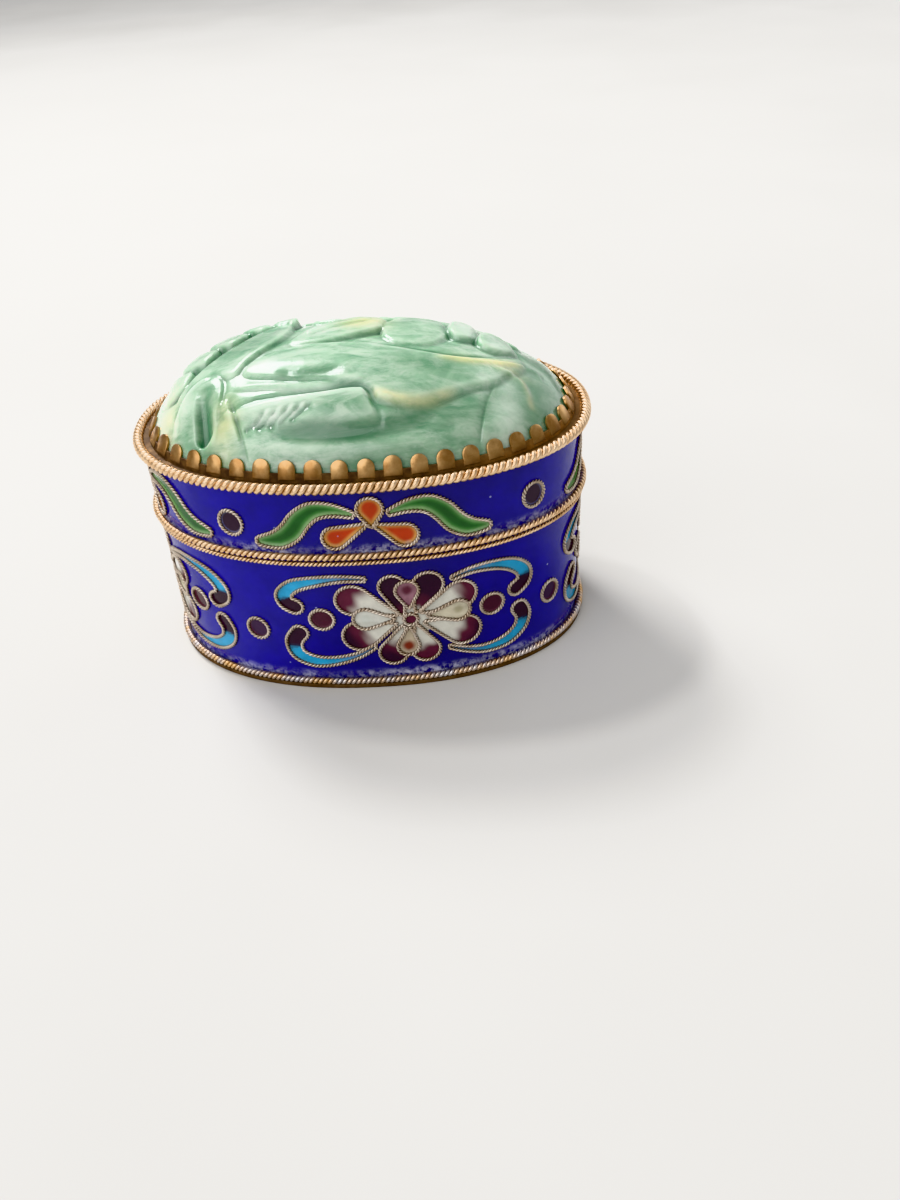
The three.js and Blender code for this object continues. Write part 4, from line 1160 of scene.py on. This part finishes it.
GREEN_AND_SHADE_PATCHES = (
    ((25.0, -3.0), (5.0, 9.5), 1.5), ((-15.0, 1.2), (5.0, 3.4), 0.7), ((-18.2, -9.6), (2.0, 3.6), 0.8),
    ((9.0, -6.4), (5.0, 2.2), 0.55), ((-6.0, -7.9), (4.0, 0.8), 0.8), ((2.0, -17.0), (14.0, 1.6), 0.5),
    ((12.0, -12.6), (4.0, 2.2), 0.5), ((-20.0, -5.0), (2.0, 2.0), 0.4),
)

# The same tints in bands that follow a line, the pale ones painted highlight on veins, rims and ridges and
# the green ones painted shade in grooves: (line, half width, strength)
PALE_HIGHLIGHT_BANDS = (*[(((x - 2.3, -12.55 - 0.07 * (x + 9)), (x - 1.0, -12.05), (x + 0.5, -11.4)), 0.24, strength)
                for x, strength in ((-9.9, 1.0), (-8.4, 0.9), (-6.9, 0.8), (-5.5, 0.6))],
              (((-13.8, -10.9), (-7.0, -11.1), (-0.5, -10.7)), 0.35, 0.9),
              (CURL_RIM, 0.5, 0.9),
              (((-14.4, -8.2), (-10.0, -9.0), (-5.0, -9.8), (-1.0, -9.6)), 0.3, 0.7))
WARM_BANDS = ((((9.6, -4.9), (14.6, -4.5), (18.6, -3.2), (21.6, -1.2)), 0.8, 1.0),
              (((20.0, -3.6), (21.3, -6.0), (21.6, -9.0)), 0.45, 0.8),
              (((1.6, -10.4), (5.0, -11.6), (9.0, -11.5), (13.0, -9.6)), 0.5, 0.6))
GREEN_SHADE_BANDS = (
    (((-11.4, -12.6), (-7.0, -13.8), (0.0, -14.5), (4.0, -14.0), (8.0, -12.9), (12.6, -10.6)), 0.85, 1.1),
    (((-9.8, -7.3), (-5.5, -7.9), (-0.6, -7.7)), 0.75, 0.8),
    (((-13.4, -9.8), (-8.0, -10.2), (-3.0, -10.3)), 0.35, 0.8),
    (LEAF_BACK, 0.35, 0.7),
    (((14.8, -15.4), (15.7, -11.0), (17.0, -7.6)), 0.3, 0.7),
)


def near_line(spots, line):
    """For each spot: its distance to a line, how far along the line that is, and on which side."""
    line = np.asarray(line, float)
    best = np.full(len(spots), np.inf)
    along, side = np.zeros(len(spots)), np.zeros(len(spots))
    for i, (start, end) in enumerate(zip(line, line[1:])):
        run, off = end - start, spots - start
        t = np.clip((off @ run) / (run @ run), 0, 1)
        gap = np.linalg.norm(off - t[:, None] * run, axis=1)
        closer = gap < best
        best = np.where(closer, gap, best)
        along = np.where(closer, (i + t) / (len(line) - 1), along)
        side = np.where(closer, np.sign(run[0] * off[:, 1] - run[1] * off[:, 0]), side)
    return best, along, side


def near_curve(spots, line):
    """The same for a smooth line through some points."""
    return near_line(spots, curve_through(line, LINE_STEPS, False))


def tapered(along, end):
    """A line's strength, which fades over a share of its length at both ends."""
    return smooth_share(along, 0, end) * (1 - smooth_share(along, 1 - end, 1))


def bell(gap, width):
    """1 on a line, and less with every width away from it."""
    return np.exp(-((gap / width) ** 2))


def cut_along(spots, lines, end):
    """How deep some rounded lines are cut at each spot."""
    depth_there = np.zeros(len(spots))
    for line, depth, left, right in lines:
        gap, along, side = near_curve(spots, line)
        depth_there += depth * bell(gap, np.where(side > 0, left, right)) * tapered(along, end)
    return depth_there


def carving(spots):
    """The carving's height at each spot over the taken-down field, in millimetres."""
    height = np.zeros(len(spots))
    for form in FORMS:
        edge = curve_through(form["outline"], FORM_STEPS, True)
        low, high = edge.min(0), edge.max(0)
        near = np.all((spots > low - GROOVE_ROOM) & (spots < high + GROOVE_ROOM), axis=1)
        gap, within = edge_gap(spots[near], edge), inside(spots[near], edge)
        lean = ((spots[near] - edge.mean(0)) * 2 / (high - low)) @ np.asarray(form["high"])
        lean = np.clip(LEAN_MIDDLE + LEAN_SLOPE * lean, LEAN_LEAST, 1)
        depth_in = np.clip(gap / form["shoulder"], 0, 1)
        if form.get("is_dish"):
            swell = 1 - DISH_DEPTH * smooth_share(depth_in, DISH_SHOULDER, 1)
        else:
            swell = EDGE_SHARE + (1 - EDGE_SHARE) * np.sqrt(1 - (1 - depth_in) ** 2)
        lowered = height[near] - form["groove"] * lean * bell(gap, form["reach"])
        share = smooth_share(np.where(within, gap, -gap), *MEETING)
        height[near] = form["rise"] * lean * swell * share + lowered * (1 - share)
    for line, rise, fade, cut, reach in EDGES:
        gap, along, side = near_curve(spots, line)
        share = smooth_share(gap * side, -EDGE_STEP, EDGE_STEP)
        step = rise * bell(gap, fade) * share - cut * bell(gap, reach) * (1 - share)
        height += step * tapered(along, EDGE_TAPER)
    return height - cut_along(spots, GROOVES, GROOVE_TAPER)


def fine_carving(spots):
    """What is cut last, and stays crisp."""
    height = -cut_along(spots, FINE_LINES, FINE_TAPER)
    for line in VEINS:
        gap, along, side = near_line(spots, line)
        width = np.where(side > 0, VEIN_STEEP, VEIN_FLAT)
        height -= VEIN_DEPTH * np.exp(-gap / width) * tapered(along, VEIN_TAPER)
    gap, along, _ = near_line(spots, SLOT)
    deepening = SLOT_START + (1 - SLOT_START) * along
    return height - SLOT_DEPTH * deepening * (1 - smooth_share(gap, SLOT_FLOOR, SLOT_BRIM))


def tint_share(spots, wide, narrow):
    """How strongly some soft-edged patches and bands colour each spot, and nothing at the foot's middle."""
    found = np.zeros(len(spots))
    for middle, half, strength in wide:
        found = np.maximum(found, strength * np.exp(-(((spots - middle) / half) ** 2).sum(axis=1)))
    for line, half, strength in narrow:
        gap, along, _ = near_curve(spots, line)
        found = np.maximum(found, strength * bell(gap, half) * tapered(along, BAND_TAPER))
    return np.append(np.clip(found, 0, 1), 0)


def blurred(grid, rounds):
    """A grid of heights evened out with its neighbours."""
    for _ in range(rounds):
        padded = np.pad(grid, 1, mode="edge")
        beside = padded[:-2, 1:-1] + padded[2:, 1:-1] + padded[1:-1, :-2] + padded[1:-1, 2:]
        grid = (beside + 2 * grid) / 6
    return grid


def jade_stone():
    """The stone: a grid laid over the oval, lifted to the dome and its carving, and closed below."""
    wide, deep = STONE_COLUMNS + 1, STONE_ROWS + 1
    u, v = (grid.ravel() for grid in np.meshgrid(np.linspace(-1, 1, wide), np.linspace(-1, 1, deep)))
    disc = np.column_stack([u * np.sqrt(1 - v ** 2 / 2), v * np.sqrt(1 - u ** 2 / 2)])
    reach = np.clip(np.linalg.norm(disc, axis=1), 0, 1)
    spots = oval(np.arctan2(disc[:, 1], disc[:, 0]), -STONE_INSET) * reach[:, None]
    spots[:, 0] += TOP_SHIFT * (1 - reach ** 2)
    flat = spots / MM
    forms = FORM_SHARE * blurred(carving(flat).reshape(deep, wide), POLISHING).ravel() - GROUND_DEPTH
    relief = forms * (1 - smooth_share(reach, CUT_REACH, KEPT_REACH))
    relief += fine_carving(flat) * (1 - smooth_share(reach, FINE_REACH, FINE_END))
    relief = np.clip(relief, -GREATEST_DEPTH, GREATEST_RISE)
    points = np.column_stack([spots, STONE_FOOT + dome_height(reach) + relief * MM])
    index = np.arange(wide * deep).reshape(deep, wide)
    border = np.concatenate([index[0, :-1], index[:-1, -1], index[-1, :0:-1], index[:0:-1, 0]]).tolist()
    centre = wide * deep
    faces = grid_faces(deep, wide, columns_close=False).tolist()
    faces.extend((centre, after, before) for before, after in zip(border, border[1:] + border[:1]))
    stone = mesh_piece("jade_stone", np.concatenate([points, [[0, 0, STONE_FOOT]]]), faces)
    # Painted shade in the cuts and painted highlight on the ridges, from how far the carving lies below or
    # above its evened-out self
    hollow = blurred(relief.reshape(deep, wide), HOLLOW_ROUNDS).ravel() - relief
    paint(stone, "cut", np.append(np.clip(hollow / FULL_HOLLOW, 0, 1), 0))
    paint(stone, "ridge", np.append(np.clip(-hollow / FULL_RIDGE, 0, 1), 0))
    # Pale tint, partly painted highlight; green tint, partly painted shade
    paint(stone, "pale", tint_share(flat, PALE_AND_HIGHLIGHT_PATCHES, PALE_HIGHLIGHT_BANDS))
    paint(stone, "warm", tint_share(flat, WARM_PATCHES, WARM_BANDS))
    paint(stone, "green", tint_share(flat, GREEN_AND_SHADE_PATCHES, GREEN_SHADE_BANDS))
    return finish_piece(stone, JADE, "jade", "lid_jade_stone")


# Making the box
cup()
lid_metal()
enamel_band("base_enamel_coat", "base_enamel", "base", ENAMEL_LOW.z, ENAMEL_HIGH.z)
enamel_band("lid_enamel_coat", "lid_enamel", "lid", LID_ENAMEL_LOW.z, LID_ENAMEL_HIGH.z)
rope("foot_rope", "base_foot_rope", 1.3 * MM, 8, FOOT_METAL)
rope("rim_rope", "base_rim_rope", 1.1 * MM, 7)
rope("lid_edge_rope_wire", "lid_edge_rope", 1.5 * MM, 8)
rope("lid_top_rope_wire", "lid_top_rope", 1.75 * MM, 10)
for side in MOTIF_SIDES:
    scrolls = [f"base_scroll_wire_{k}_{side}" for k in (1, 2, 3, 4)]
    cell_wires("base", side, [f"base_flower_wire_{side}", *scrolls, f"base_dot_after_{side}"])
    leaves = [f"lid_leaf_wire_{hand}_{side}" for hand in "ab"]
    cell_wires("lid", side, [f"lid_petal_wire_{side}", *leaves, f"lid_dot_after_{side}"])
bezel()
jade_stone()


# The stage: a pale floor, soft studio lights and the photograph's viewing angle
FLOOR_REACH = 10.0
LIT_SPOT = (0, 0, 0.02)
SKY_FROM = (-0.4, -0.5, 0.55)
SKY_STRENGTH = 1.6
SKY_WIDTH = 1.05  # radians across, as soft as a wide window
WORLD_COLOUR = (0.97, 0.975, 1.0, 1)
WORLD_STRENGTH = 0.52
CAMERA_PLACE = Vector((12.6, -124.9, 93.3)) * MM
CAMERA_YAW, CAMERA_PITCH, CAMERA_ROLL = -0.0219, 0.6437, 0.0662
PHOTO_HEIGHT = 1200
PHOTO_FOCUS = 1047.5  # the camera's focal length in the photograph's pixels
SENSOR_HEIGHT = 36.0


def in_scene(name, data):
    """A new object in the scene for a light or a camera."""
    held = bpy.data.objects.new(name, data)
    bpy.context.scene.collection.objects.link(held)
    return held


def stage():
    """The floor."""
    corners = [(x * FLOOR_REACH, y * FLOOR_REACH, 0) for x, y in ((-1, -1), (1, -1), (1, 1), (-1, 1))]
    floor = mesh_piece("floor", corners, [(0, 1, 2, 3)])
    floor.data.materials.append(floor_finish())


def soft_light(name, place, size, power):
    """A round area light that faces the box."""
    data = bpy.data.lights.new(name, "AREA")
    data.shape, data.size, data.energy = "DISK", size, power
    light = in_scene(name, data)
    light.location = place
    light.rotation_euler = (Vector(LIT_SPOT) - Vector(place)).to_track_quat("-Z", "Y").to_euler()


def studio():
    """An even pale room, a wide soft sky and three soft lights."""
    bpy.context.scene.view_settings.view_transform = "Khronos PBR Neutral"
    world = bpy.data.worlds.new("studio")
    world.use_nodes = True
    background = world.node_tree.nodes["Background"].inputs
    background["Color"].default_value, background["Strength"].default_value = WORLD_COLOUR, WORLD_STRENGTH
    bpy.context.scene.world = world
    soft_light("window", (-0.22, 0.3, 0.42), 0.2, 3.0)
    sky = bpy.data.lights.new("sky", "SUN")
    sky.energy, sky.angle = SKY_STRENGTH, SKY_WIDTH
    in_scene("sky", sky).rotation_euler = Vector(SKY_FROM).to_track_quat("Z", "Y").to_euler()
    soft_light("edge", (0.45, 0.42, 0.3), 0.6, 0.9)
    soft_light("lamp", (-0.24, 0.16, 0.54), 0.07, 1.1)


def camera():
    """The camera, where the photograph was taken from."""
    data = bpy.data.cameras.new("photograph_view")
    data.sensor_width = SENSOR_HEIGHT
    data.lens = SENSOR_HEIGHT * PHOTO_FOCUS / PHOTO_HEIGHT
    data.clip_start, data.clip_end = 0.01, 20
    level = math.cos(CAMERA_PITCH)
    forward = Vector((math.sin(CAMERA_YAW) * level, math.cos(CAMERA_YAW) * level, -math.sin(CAMERA_PITCH)))
    level_right = forward.cross(Vector((0, 0, 1))).normalized()
    level_down = forward.cross(level_right)
    right = math.cos(CAMERA_ROLL) * level_right + math.sin(CAMERA_ROLL) * level_down
    up = math.sin(CAMERA_ROLL) * level_right - math.cos(CAMERA_ROLL) * level_down
    turned = [[right[i], up[i], -forward[i]] for i in range(3)]
    eye = in_scene("photograph_view", data)
    eye.matrix_world = Matrix.Translation(CAMERA_PLACE) @ Matrix(turned).to_4x4()
    bpy.context.scene.camera = eye


stage()
studio()
camera()
